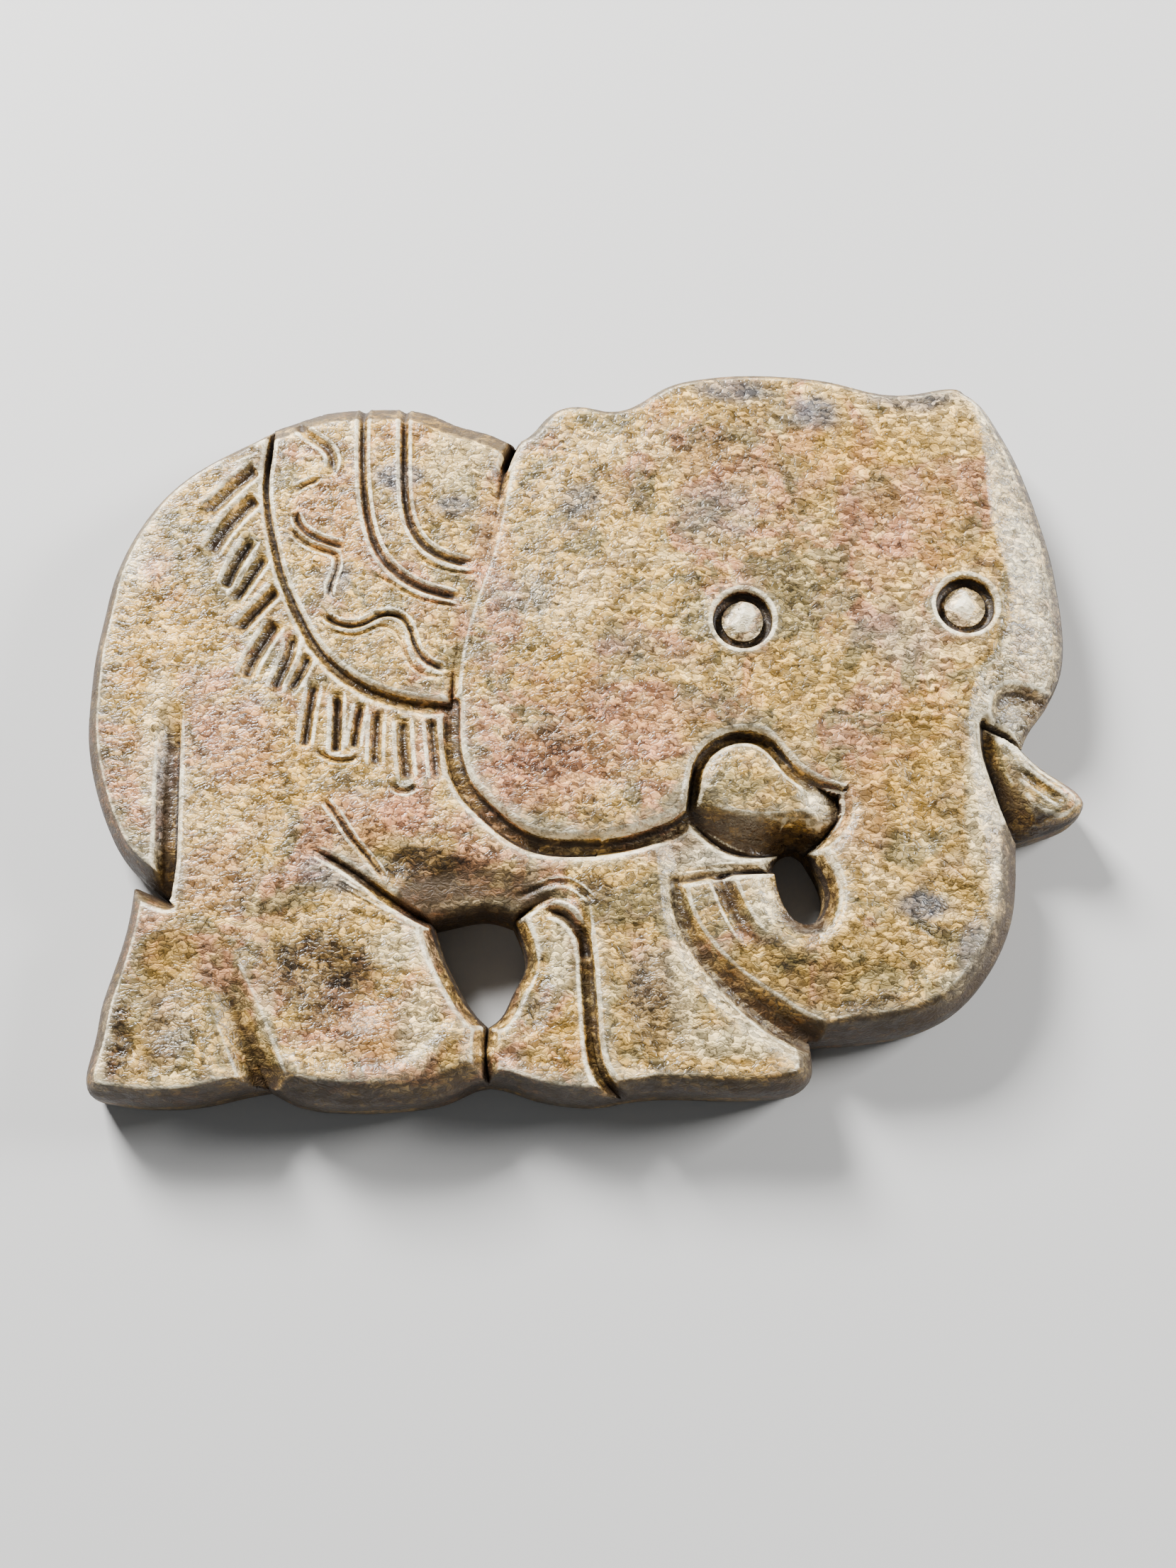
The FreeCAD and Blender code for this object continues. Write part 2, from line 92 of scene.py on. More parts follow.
GROOVE_LINES = {
    "saddle_border": [(-21.85, 22), (-21.9, 20), (-22.1, 17.5), (-21.9, 15.2), (-21.4, 12.8),
        (-20.7, 10.3), (-19.6, 7.8), (-18.1, 5.2), (-16.2, 3.4), (-13.8, 2.1), (-11.3, 1.45),
        (-9, 1.3)],
    "ear_back": [(-4.9, 20.7), (-5.4, 19.3), (-5.8, 17), (-6.2, 14.5), (-6.9, 11.5), (-7.8, 8.8),
        (-8.5, 6.2), (-8.9, 3.6), (-9, 1.3)],
    "ear_lobe": [(-9, 1.3), (-9, -0.8), (-8.7, -2.9), (-7.9, -4.7), (-6.5, -6.2), (-4.8, -7.6),
        (-3, -8.4), (-1, -8.6), (0.9, -8.55)],
    "ear_front": [(0.9, -8.55), (3, -8.2), (5, -7.6), (6.3, -7), (7, -6.4)],
    "tusk_top": [(7, -6.4), (7.3, -4.8), (7.6, -3.1), (8.5, -1.8), (10, -1.05), (11.6, -1.1),
        (12.8, -1.9), (13.9, -3.3), (15.3, -4.3), (17.1, -5)],
    "tusk_tip": [(17.1, -5), (17.2, -6.2), (16.6, -7.3), (15, -8.55)],
    "tusk_flank": [(7, -6.4), (8.2, -7.6), (9.6, -8.5), (11.2, -8.75), (13.15, -8.55)],
    "throat_edge": [(12.7, -10), (10.5, -10.1), (8.2, -10.4), (6.05, -10.9)],
    "trunk_inner": [(6.05, -10.9), (6.3, -12.6), (7, -14.4), (8.2, -16.2), (9.8, -17.9), (11.8, -19.6),
        (13.3, -20.6), (14.95, -21.4)],
    "far_tusk_root": [(27.2, 0.1), (28.3, -0.3), (30, -1.3)],
    "far_tusk_groove": [(27.2, 0.1), (27.3, -2), (27.9, -4), (28.6, -6), (29.35, -7.6)],
    "foreleg_groove": [(-0.1, -12.3), (0.15, -14.5), (0.3, -17), (0.5, -20), (0.8, -22.6), (1.5, -24.2),
        (2.5, -25.1)],
    "far_foreleg_top": [(-4.8, -13.3), (-3.4, -12.4), (-1.8, -12), (-0.1, -12.3)],
    "feet_gap": [(-6.4, -20.4), (-6.5, -22.3), (-6.3, -24.1)],
    "belly_groove": [(-19, -8.4), (-16, -9.8), (-13, -11.9), (-10.2, -13.45)],
    "hind_valley": [(-25.5, -14.5), (-24.2, -17), (-22.9, -19.6), (-21.8, -22.2), (-20.9, -24.4)],
    "tail_groove": [(-27.7, -11.95), (-27.45, -10), (-27.4, -6), (-27.45, -2), (-27.45, 2)],
}

# Places where the stone runs on from one element to the next with no carved line.
BLEND_LINES = {
    "foreleg_root": [(0.9, -8.55), (0.7, -10), (0.4, -11.3), (-0.1, -12.3)],
    "trunk_root": [(17.1, -5), (19, -3), (22, -1.2), (24.8, -0.3), (27.2, 0.1)],
    "far_haunch": [(-27.7, -11.95), (-26.7, -13.2), (-25.5, -14.5)],
    "near_haunch": [(-25.5, -14.5), (-22.6, -10.4), (-19, -8.4)],
    "tail_root": [(-27.45, 2), (-30.5, 3.2), (-33.97, 2.2)],
}

ELEMENTS = {
    "body": ["rump", "saddle_border", "ear_lobe", "foreleg_root", "far_foreleg_top", "leg_hole_top",
        "belly_groove", "near_haunch", "far_haunch", "tail_groove", "tail_root"],
    "saddle_cloth": ["saddle_top", "ear_back", "saddle_border"],
    "head": ["crown", "cheek", "far_tusk_root", "trunk_root", "tusk_top", "ear_front", "ear_lobe",
        "ear_back"],
    "trunk": ["trunk_root", "far_tusk_groove", "trunk_rim", "trunk_inner", "throat_edge",
        "curl_hole_low", "tusk_tip"],
    "near_tusk": ["tusk_top", "tusk_tip", "curl_hole_top", "tusk_flank"],
    "far_tusk": ["far_tusk_root", "far_tusk_rim", "far_tusk_groove"],
    "near_fore_leg": ["foreleg_root", "ear_front", "tusk_flank", "curl_hole_side", "throat_edge",
        "trunk_inner", "near_forefoot", "foreleg_groove"],
    "far_fore_leg": ["far_foreleg_top", "foreleg_groove", "far_forefoot", "feet_gap", "leg_hole_right"],
    "near_hind_leg": ["belly_groove", "near_haunch", "leg_hole_left", "feet_gap", "near_hindfoot",
        "hind_valley"],
    "far_hind_leg": ["far_haunch", "hind_valley", "far_hindfoot", "hock_wedge"],
    "tail": ["tail_groove", "tail_root", "tail_rim"],
}

# Height of the stone along each line, evenly spaced from its start to its end.
LINE_HEIGHTS = {
    "rump": [4], "saddle_top": [4, 4.2, 4.4], "crown": [4.6, 4.9, 4.8], "cheek": [4.6, 4.3, 4, 3.4],
    "far_tusk_rim": [3.2, 3.8, 2.6], "trunk_rim": [3.4, 3.9, 3.6, 2.8, 2.2],
    "near_forefoot": [3.4, 4.4, 3.4], "far_forefoot": [3.2], "near_hindfoot": [3.2, 3.3, 3.2],
    "far_hindfoot": [3.6, 3.4, 4, 4.2], "hock_wedge": [3.6, 3], "tail_rim": [2.8, 4, 4],
    "leg_hole_top": [3.2, 3.4], "leg_hole_right": [3.2, 4, 3.6], "leg_hole_left": [3.6, 4, 3.2],
    "curl_hole_top": [2.6], "curl_hole_side": [3, 3.6],
    "curl_hole_low": [5, 5.3, 5.2, 4.8, 4.4, 4.2, 3.8, 3],
    "saddle_border": [4.8, 5.55, 5.5, 5.4, 5.3, 5.3],
    "ear_back": [3.9, 5.4, 6, 6.12, 6.12, 6.12, 6.1, 6, 5.4], "ear_lobe": [5.4, 5.2, 4.9, 4.7, 4.6],
    "ear_front": [4.6, 4.6, 4.9], "tusk_top": [4.9, 5.5, 5.6, 5.6, 6], "tusk_tip": [6, 5.2, 3.2],
    "tusk_flank": [4.9, 4.4, 3.8, 3], "throat_edge": [4.3, 4.9, 5],
    "trunk_inner": [5, 4.9, 4.4, 3.8, 3.2], "far_tusk_root": [4.3, 3.9, 3.4],
    "far_tusk_groove": [4.3, 4.3, 3.8, 3], "foreleg_groove": [6.1, 5.1, 4.8, 4.7, 4.7, 4.3, 3.4],
    "far_foreleg_top": [3.6, 5, 5.7, 6.1], "feet_gap": [3.6, 4.3, 3.4],
    "belly_groove": [6.1, 5.3, 5, 4.6, 3.6], "hind_valley": [6.1, 5.5, 4.9, 4.4, 3.4],
    "tail_groove": [3.4, 4.9, 4.95, 5.2, 6.1],
}

# How much wider than usual a line's cross-section is, evenly spaced from its start to its end.
LINE_WIDTHS = {
    "saddle_border": [0.6, 0.62, 0.7, 0.85, 1.1, 1.2], "foreleg_groove": [0.8, 1.1, 1.1, 1.2],
    "belly_groove": [0.6, 0.8, 1, 1.2], "curl_hole_low": [1.2, 1.6, 1.8, 1.4, 1, 0.9, 0.9, 1],
    "trunk_inner": [0.9, 1.1, 1.3, 1.6, 1.9, 1.8], "ear_back": [1.3, 1, 1, 1],
}

# Cross-section beside a line, which starts at (0, 0): distance from it, share of the way up to the
# face. A share above 1 matters only where the line lies higher than the face.
RIM_SHAPE = [(0.2, 0.3), (0.9, 0.95), (1.15, 1)]
GROOVE_SHAPE = [(0.14, 0.12), (0.42, 0.84), (0.65, 0.94), (1.2, 0.985), (2.4, 1)]
SHAPES = {
    "crown": [(0.15, 0.35), (0.55, 0.85), (0.9, 0.98), (1.3, 1)],
    "cheek": [(0.25, 0.35), (0.9, 0.86), (1.5, 0.97), (2.4, 1)],
    "saddle_top": [(0.2, 0.35), (1.1, 0.82), (1.55, 0.98), (2, 1)],
    "trunk_rim": [(0.15, 0.3), (1, 0.84), (1.5, 0.97), (2.2, 1)],
    "near_forefoot": [(0.15, 0.35), (0.8, 0.85), (1.2, 0.98), (1.8, 1)],
    "near_hindfoot": [(0.15, 0.35), (1.1, 0.84), (1.6, 0.97), (2.2, 1)],
    "far_tusk_rim": [(0.15, 0.4), (0.6, 0.85), (1.1, 1)],
    "curl_hole_low": [(0.25, 0.3), (0.85, 0.88), (1.2, 1)],
    ("head", "ear_back"): [(0.1, 0.1), (0.55, 0.93), (0.8, 1)],
    ("saddle_cloth", "ear_back"): [(0.25, 0.5), (0.7, 1)],
    ("saddle_cloth", "saddle_border"): [(0.12, 0.1), (0.32, 0.85), (0.5, 0.98), (0.8, 1)],
    ("body", "saddle_border"): [(0.3, 0.12), (0.55, 0.7), (0.75, 0.97), (1, 1)],
    ("head", "ear_lobe"): [(0.45, 0.06), (0.75, 0.82), (1.05, 0.94), (2.8, 1)],
    ("body", "ear_lobe"): [(0.4, 0.1), (0.7, 0.9), (1, 1)],
    ("head", "ear_front"): [(0.3, 0.06), (0.65, 0.8), (1, 0.95), (1.6, 1)],
    ("near_fore_leg", "ear_front"): [(0.3, 0.15), (0.7, 0.9), (1, 1)],
    ("head", "tusk_top"): [(0.2, 0.1), (0.45, 0.85), (0.8, 0.97), (1.3, 1)],
    ("near_tusk", "tusk_top"): [(0.3, 0.1), (0.6, 0.8), (1, 0.97), (1.5, 1)],
    ("near_tusk", "tusk_flank"): [(0.3, 0.08), (1.9, 0.82), (2.3, 0.96), (2.9, 1)],
    ("near_tusk", "tusk_tip"): [(0.25, 0.35), (0.8, 0.8), (1.4, 1)],
    ("near_tusk", "curl_hole_top"): [(0.4, 0.2), (1.5, 0.85), (2, 1)],
    ("trunk", "tusk_tip"): [(0.3, 0.3), (0.8, 0.85), (1.3, 1)],
    ("trunk", "trunk_inner"): [(0.35, 0.04), (0.6, 0.4), (0.85, 0.8), (1.3, 0.93), (2.6, 1)],
    ("near_fore_leg", "trunk_inner"): [(0.25, 0.05), (0.5, 0.7), (0.8, 0.92), (1.6, 1)],
    ("trunk", "far_tusk_groove"): [(0.15, 0.15), (0.5, 0.85), (0.9, 1)],
    ("far_tusk", "far_tusk_groove"): [(0.4, 0.08), (1, 0.6), (1.8, 1)],
    ("far_fore_leg", "foreleg_groove"): [(0.3, 0.2), (0.6, 0.9), (0.9, 1.1), (1.4, 1.1), (2.6, 1)],
    ("near_fore_leg", "foreleg_groove"): [(0.25, 0.15), (0.5, 0.8), (0.9, 0.93), (2.6, 1)],
    ("body", "far_foreleg_top"): [(0.2, 0.25), (0.6, 0.7), (2.2, 1)],
    ("body", "leg_hole_top"): [(0.2, 0.35), (0.6, 0.6), (3.4, 1)],
    ("body", "belly_groove"): [(0.15, 0.15), (0.4, 0.75), (0.8, 0.9), (2.5, 1)],
    ("near_hind_leg", "belly_groove"): [(0.3, 0.2), (0.6, 0.85), (1, 1)],
    ("near_hind_leg", "hind_valley"): [(0.5, 0.2), (1.6, 0.85), (2.6, 1)],
    ("far_hind_leg", "hind_valley"): [(0.5, 0.15), (1.4, 0.75), (2.8, 1)],
    ("body", "tail_groove"): [(0.1, 0.45), (0.25, 0.93), (0.5, 1)],
    ("tail", "tail_groove"): [(0.75, 0.04), (1.15, 0.5), (1.5, 0.97), (1.9, 1)],
    "feet_gap": [(0.25, 0.3), (0.9, 0.85), (1.4, 1)],
}

FAR_TUSK_CREASE = [(27.4, -0.6), (28.6, -1.35), (30.6, -2.75), (32.4, -3.9), (34.2, -4.75)]

# Facets: elements, crease, side of the crease they lie on (1 left, -1 right as it runs), slope away
# from the crease, greatest change of height, and the painted light on the facet: a painted highlight,
# painted shade, or none.
FACETS = [
    (("head", "trunk"), [(24.5, -17.6), (26.3, -14.5), (26.9, -11), (26.6, -8), (26.1, -4.5),
        (25.9, -1.5), (26.1, 1.5), (26.8, 3.6), (28.2, 5.4), (29, 7.6), (29.1, 9.6), (28.6, 11.8),
        (28.1, 14), (27.8, 17), (27.7, 20), (27.3, 22.4), (26.2, 24.3)], -1, -0.42, 1.6, "facet_highlight"),
    (("head",), [(27.45, -1.5), (27.5, 1), (27.9, 2.3), (28.8, 2.9), (30.2, 2.9), (32.5, 2.4)], -1,
        -1.5, 0.95, "facet_highlight"),
    (("far_tusk",), FAR_TUSK_CREASE, 1, -0.6, 1.5, "facet_highlight"),
    (("far_tusk",), [(27.3, -1.9), (28.2, -2.9), (29.6, -4.5), (31, -5.7), (33.2, -6), (34.4, -5.6)],
        -1, -0.9, 1.8, "flank"),
    (("far_tusk",), FAR_TUSK_CREASE, -1, -0.12, 0.3, None),
    (("near_fore_leg",), [(4, -6.5), (4.7, -8.6), (5, -10.6), (5.3, -13.2), (6.2, -16), (7.9, -18.6),
        (10.3, -20.8), (13.5, -22.9)], 1, -0.6, 0.75, "facet_highlight"),
    (("far_fore_leg",), [(-6, -13.2), (-4.2, -12.75), (-2.4, -12.75), (-1.3, -13.1), (-0.7, -13.7),
        (-0.25, -14.5), (0, -15.4), (0.15, -17), (0.3, -20)], 1, 0.9, 0.5, None),
    (("near_tusk",), [(5.8, -5.1), (8, -5.5), (10, -6.15), (12, -6.45), (14, -6.95), (16.2, -6.8),
        (18, -6.1)], -1, -1.05, 2.6, "flank"),
    (("near_tusk",), [(13.6, -2.6), (14.6, -5), (15, -6.3), (14.9, -8.2)], 1, -0.5, 1.2, "facet_highlight"),
]

# Broad soft hollows, and swellings where the depth is negative: points, width, depth.
SWELLS = [
    ([(11, -16.4), (14.5, -18.2), (18.5, -18.2), (22.3, -16.2), (24.6, -12.8)], 5.2, 0.38),
    ([(17.8, -8.6), (18.2, -12.2), (16.6, -15), (13.6, -15.4)], 3.4, -0.2),
    ([(21.4, 0.9), (23.6, 0.7)], 4.2, -0.22),
    ([(22.2, -3.6), (22.6, -8.4)], 3.6, 0.2),
    ([(18.6, 2.4), (16.4, 0.2)], 3.4, 0.16),
    ([(-14.4, -8.8), (-11, -10.2), (-7.8, -10.6)], 3.8, 0.4),
    ([(-19.6, -13.6), (-17.6, -16.8), (-14.8, -18.8)], 6.2, 0.5),
    ([(-22.6, -17), (-21.3, -20), (-19.4, -23), (-15.5, -23.9), (-11, -23.2), (-8.6, -21)], 2.2, -0.3),
    ([(-27.4, -16), (-27.6, -20.5)], 4.2, 0.25),
    ([(-30.4, -21), (-28.2, -23.2)], 1.6, 0.22),
    ([(3, -14.5), (3.6, -18.5), (5.2, -21.5)], 4.2, 0.35),
    ([(2.8, -22.9), (7, -22.8), (11, -23)], 2.8, 0.2),
    ([(-2.8, -16.5), (-3.2, -20)], 2.2, 0.25),
    ([(-5.6, -22.3), (-2.6, -22.9)], 2.4, 0.2),
    ([(-30.5, 10), (-31.3, 3), (-30.8, -3)], 4, -0.14),
    ([(-22, 1), (-19, -4.5), (-14.5, -6.6)], 6, -0.16),
    ([(1, 17.5), (8, 20), (16, 19)], 8, -0.12),
    ([(20, 13.5), (22, 17)], 5, 0.16),
    ([(-3.5, 0.5), (1, -4)], 6, 0.14),
]

# Engraved strokes: points, width, depth, how far each end takes to reach full depth.
STRAPS = [
    ([(-15.5, 24.5), (-15.5, 20), (-15.35, 17), (-14.95, 14.4), (-14.1, 12.1), (-12.9, 10.7),
        (-11.2, 9.65), (-8.3, 8.9)], 0.72, 0.5, 0.1, 1.2),
    ([(-12.65, 24.5), (-12.6, 20), (-12.5, 17), (-12.1, 14.5), (-11.3, 13), (-10, 12), (-7.5, 11.3)],
        0.72, 0.5, 0.1, 1.2),
    ([(-14.8, 10.8), (-13.2, 9.9), (-11.7, 9), (-10.2, 8.55), (-8.4, 8.25)], 0.3, 0.16, 1.2, 0.8),
    ([(-11.8, 12.3), (-10.9, 11.5), (-9.8, 11), (-8.2, 10.7), (-7.1, 10.8)], 0.3, 0.16, 1, 0.8),
]
BAND = [
    ([(-20.2, 22), (-19.6, 21.2), (-18.6, 20.4), (-17.8, 19.7), (-17.55, 18.9), (-17.8, 17.9)], 0.8,
        0.42, 0.5, 0.9),
    ([(-18.3, 17.7), (-19.4, 17.2), (-20.4, 16.6)], 0.5, 0.3, 0.6, 0.8),
    ([(-20.1, 15.2), (-19.7, 14.2), (-18.8, 13.4), (-17.7, 12.95), (-16.4, 12.55)], 0.62, 0.42, 0.7,
        0.7),
    ([(-20.4, 13.9), (-19.4, 13), (-18.2, 12.4), (-17.1, 11.9), (-17.1, 10.9), (-17.5, 9.6),
        (-17.4, 8.6)], 0.5, 0.28, 0.7, 0.9),
    ([(-17.9, 7.7), (-17, 7.1), (-16, 6.9), (-15.1, 7.1), (-14.2, 7.6), (-13.3, 7.75), (-12.4, 7.4),
        (-11.9, 6.6), (-11.6, 5.6), (-11.1, 4.7), (-10.3, 4.1), (-9.3, 3.7)], 0.55, 0.42, 0.6, 0.8),
    ([(-17.4, 6.6), (-16.4, 6.25), (-15.3, 6.3), (-14.2, 6.8), (-13.2, 6.7), (-12.6, 6), (-12.2, 4.9),
        (-11.6, 3.9), (-10.5, 3.3), (-9.5, 3.2)], 0.32, 0.16, 0.6, 0.8),
]
FRINGE = [
    ([(-22.9, 20), (-24.2, 19.5), (-25.5, 18.7)], 0.9, 0.35, 0.5, 1.2),
    ([(-22.8, 18.5), (-24.3, 17.1), (-25.4, 15.9), (-26.6, 14.8)], 1.2, 0.5, 0.5, 1.2),
    ([(-22.7, 16.3), (-24, 15), (-25.3, 13.2), (-26.1, 11.7)], 1.25, 0.55, 0.5, 1.2),
    ([(-22.9, 13.3), (-23.9, 11.6), (-24.7, 9.5)], 1.05, 0.6, 0.7, 0.6),
    ([(-21.9, 12.1), (-23, 10.4), (-24.3, 8.4)], 1, 0.5, 0.7, 0.9),
    ([(-21, 9.7), (-22.1, 8.5), (-23.2, 7.2), (-23.9, 6.3)], 1.05, 0.6, 0.6, 0.9),
    ([(-21, 7.3), (-21.9, 5.8), (-22.7, 4.3), (-23.1, 3)], 1.2, 0.6, 0.6, 0.7),
    ([(-19.9, 6.4), (-20.2, 4.6), (-20.8, 3), (-21.1, 2)], 1, 0.5, 0.7, 0.8),
    ([(-18.7, 5), (-19.3, 3.6), (-20.2, 2)], 0.95, 0.5, 0.6, 0.9),
    ([(-18.3, 3), (-18.6, 1), (-18.9, -1.8)], 0.85, 0.5, 0.8, 0.5),
    ([(-16.8, 2.4), (-16.75, 0.2), (-16.8, -2.1)], 0.85, 0.6, 1, 0.4),
    ([(-15.1, 1.6), (-15.35, 0.2), (-15.6, -1.9)], 0.8, 0.5, 0.7, 0.5),
    ([(-14, 1), (-14.1, -0.8), (-14.1, -3.2)], 0.95, 0.5, 0.7, 0.7),
    ([(-12.3, 0.5), (-12.2, -1.6), (-11.9, -4.1)], 1.05, 0.55, 0.7, 0.6),
    ([(-10.4, 0.5), (-10.2, -1.4), (-9.9, -4.1)], 0.9, 0.5, 0.7, 0.7),
    ([(-18.2, -1.9), (-16.7, -2.6), (-15.2, -2.4)], 0.45, 0.25, 0.5, 0.5),
    ([(-13.1, -4.2), (-12.1, -4.75), (-11.2, -4.3)], 0.5, 0.25, 0.5, 0.5),
]
FACE_STROKES = [
    ([(-17.5, -5.3), (-16.6, -6.4), (-15.5, -8), (-14.3, -9.4), (-13.2, -10.9)], 0.5, 0.34, 0.6, 0.9),
    ([(-5, 20.6), (-5.45, 19.2), (-5.75, 18)], 0.7, 0.9, 0.1, 1.2),
    ([(-21.3, -7), (-22, -8), (-21, -9.2), (-20.2, -10.3), (-19.5, -11.2)], 0.35, 0.1, 0.5, 1),
    ([(23.4, -9.2), (24.6, -10.1), (25.7, -11.1)], 0.22, 0.09, 0.5, 0.5),
    ([(10.9, -0.55), (12.3, -0.9), (13.1, -1.9), (14.2, -3.1), (16, -4.2), (17.9, -4.8)], 0.32, 0.14,
        0.4, 0.6),
    ([(29.2, -3), (30.2, -3.7), (31.3, -4.5), (32.5, -5.2)], 0.8, 0.32, 1, 0.7),
    ([(-4.8, -12), (-2.8, -11.2), (-1.3, -10.95), (-0.2, -11.5), (0.7, -12.4)], 0.5, 0.2, 0.9, 0.7),
    ([(-3, -12.7), (-1.9, -12.8), (-1.1, -13.25), (-0.5, -13.9), (-0.05, -14.9), (0.15, -16.2)], 1,
        0.55, 1.4, 0.7),
    ([(9, -10.2), (9.5, -11.6), (10.1, -13), (11.3, -14.8), (12.8, -15.9)], 1.7, 0.75, 0.4, 4.6),
    ([(6.4, -10.1), (9, -9.8), (12.2, -9.6)], 0.3, 0.14, 0.5, 0.3),
    ([(8.8, -8.75), (10.4, -9.1), (12.5, -9.1)], 0.3, 0.14, 0.5, 0.3),
]
LIP = 0.18            # height of the worn ridges beside a stroke, as a share of its depth
LIP_LIMIT = 1.4       # wider strokes have no such ridges

# Fine lines left by the wheel where it ran out over the hind leg, towards the leg opening.
RUN_OUT = [
    ((-18.2, -9.4), (-11, -13.6)),
    ((-17, -10.6), (-10.9, -13.8)),
    ((-16.6, -12.8), (-11, -14.1)),
    ((-17.6, -10.6), (-12.5, -13.4)),
    ((-15.6, -11.2), (-10.8, -13.5)),
]
SCRATCHES = [([start, end], 0.2, 0.07, 1.4, 0.8) for start, end in RUN_OUT]
STROKES = STRAPS + BAND + FRINGE + FACE_STROKES + SCRATCHES

EYES = {"near_eye": (10.8, 7.1), "far_eye": (26.05, 8.15)}
EYE_RING = 2.05       # outer radius of the drilled ring
EYE_CORE = 1.4        # radius of the standing core
EYE_DEPTH = 1.0
CORE_HEIGHT = 0.85
EYE_LIP = 0.08        # the worn swelling round the ring

# Clouds of colour in the stone: centre, half-width along X, half-width along Y, strength. The cream
# clouds are partly pale stone, partly painted highlight; the brown clouds are partly stains, partly
# painted shade.
PATCHES = {
    "grey_patch": [(10.5, 24, 2.6, 0.9, 0.9), (16.2, 22.2, 1.9, 1.3, 1), (22.5, 23.4, 3.2, 1, 0.9),
        (-0.4, 15.6, 1.4, 1.4, 0.7), (-13.1, 17.8, 1.6, 1.1, 1), (-17, 10.2, 1.1, 1.3, 0.8),
        (-9, 15.6, 1.3, 0.8, 0.8), (9, 14.6, 2.6, 2.2, 0.5), (22.6, -12.6, 1.9, 0.9, 1),
        (26, -15.8, 1.3, 2, 0.9), (9.5, -9.3, 3.4, 0.9, 0.9), (29.2, 0.2, 1.6, 0.8, 1),
        (-28.3, -4.5, 0.7, 4.5, 0.9), (14.8, -13.6, 1.4, 1, 0.8), (-16.6, -10.3, 2.2, 1.3, 0.8),
        (4.6, -17.5, 1.4, 2.2, 0.5), (30.4, 12, 1.3, 3.4, 0.6), (20.5, 6, 2.4, 2, 0.4),
        (-4, 9, 2.2, 1.6, 0.4), (-27.2, -20.5, 1.6, 2.6, 0.4), (3, 5, 2.4, 1.5, 0.35)],
    "rust_patch": [(9.6, -17.6, 1, 1, 0.9), (11.4, -19.3, 1.3, 0.9, 1), (13.2, -20.5, 1.6, 0.8, 1),
        (17, -21, 3, 0.6, 0.9), (-3, -2, 3, 1.8, 0.35), (-9, -11.6, 2, 0.8, 0.5)],
    "brown_stain_and_shade_patch": [(10.2, -7.7, 3.4, 1.1, 1), (0.5, -11.4, 1.3, 0.9, 0.9), (5.5, -23.9, 3.4, 0.8, 0.5),
        (9.4, -11.4, 0.9, 1.4, 0.8), (-16.8, -7.4, 1.6, 1, 0.6), (-3.6, -15.9, 1, 0.7, 0.6),
        (-17.6, -16.8, 3.8, 3, 1), (-30.7, -21.8, 1, 2.4, 1), (4.6, -19.4, 2.2, 2.6, 0.8),
        (-18, -24.4, 4.5, 0.7, 0.6), (-10.4, -9.8, 3, 1.6, 1), (8.2, 19.6, 2.4, 1.6, 0.5),
        (-3.2, -2.2, 2.8, 1.8, 0.35), (24.6, -7, 1.2, 3, 0.4), (14.5, -19, 3, 1.2, 0.5),
        (20, -19.6, 4, 1, 0.8), (25.6, -17.2, 1, 1.4, 0.6), (-26, -3, 1.4, 3, 0.3),
        (-27.8, -21.6, 1.2, 1.8, 0.4), (27.6, -5.4, 0.8, 2.4, 0.5)],
    "pink_patch": [(-2.6, -3.6, 4.6, 2.6, 0.8), (2.4, -0.4, 4.6, 3.4, 0.6), (-23.4, -1.4, 2.8, 3, 0.7),
        (-14.4, -6.6, 4, 1.7, 0.7), (20.4, 13.6, 2.4, 3.4, 0.5), (-6.4, 12.4, 1.4, 3.4, 0.5),
        (-14.6, -21, 4, 1.6, 0.5), (-24.6, -10.6, 2.4, 2.4, 0.5), (18.6, -6.6, 2, 3, 0.4),
        (9.6, 18, 3.6, 2, 0.4)],
    "cream_and_highlight_patch": [(-31, 13.6, 1.2, 3.6, 0.7), (6.4, -18.2, 1, 3.2, 0.8), (9.6, -21.6, 3.2, 1, 0.8),
        (-7.6, -12.3, 2.8, 0.5, 0.8), (12, -12.6, 0.9, 2, 0.9), (-1.6, -15.2, 0.7, 3, 0.8),
        (24.4, -17.8, 1, 0.8, 0.9), (-9, 19, 2.2, 2, 0.5), (26.2, -5.4, 0.7, 4, 0.8),
        (-31.6, -21, 0.6, 3.6, 0.8), (-16, 20.6, 0.6, 1.4, 0.5), (15.6, -5.6, 1.2, 0.9, 0.9),
        (22.4, 5.4, 2.2, 2.4, 0.4), (-29, -1, 1, 5, 0.4), (-12, -15.4, 2.2, 1.4, 0.6),
        (-10.8, -20.4, 1.4, 2.4, 0.6), (-21, -19.6, 0.7, 2.6, 0.5)],
    "gold_patch": [(18, 19.5, 4.5, 2.2, 0.5), (-27.5, 7, 2.6, 3.6, 0.5), (-2, 3.4, 3.4, 2.2, 0.4),
        (13, 3, 3.6, 2, 0.4), (21.5, -4, 2.4, 3.6, 0.5), (-19.5, -3.5, 3.4, 2.6, 0.45),
        (-14.2, 22, 2.2, 1.4, 0.5), (-11.4, 19.6, 3.4, 3, 0.5), (-17.2, 14, 2.4, 4, 0.4),
        (8, 22.6, 5, 1.8, 0.4), (-30, 4, 2.4, 6, 0.4), (24.6, 13, 2, 4, 0.4),
        (-27.2, -16.5, 1.6, 2.8, 0.45), (-1.6, -22, 2, 2.2, 0.5), (12, -22.8, 2.6, 1.4, 0.5),
        (22.8, 0.6, 2.2, 1.8, 0.5), (-12.4, -20, 2.6, 3, 0.3)],
}
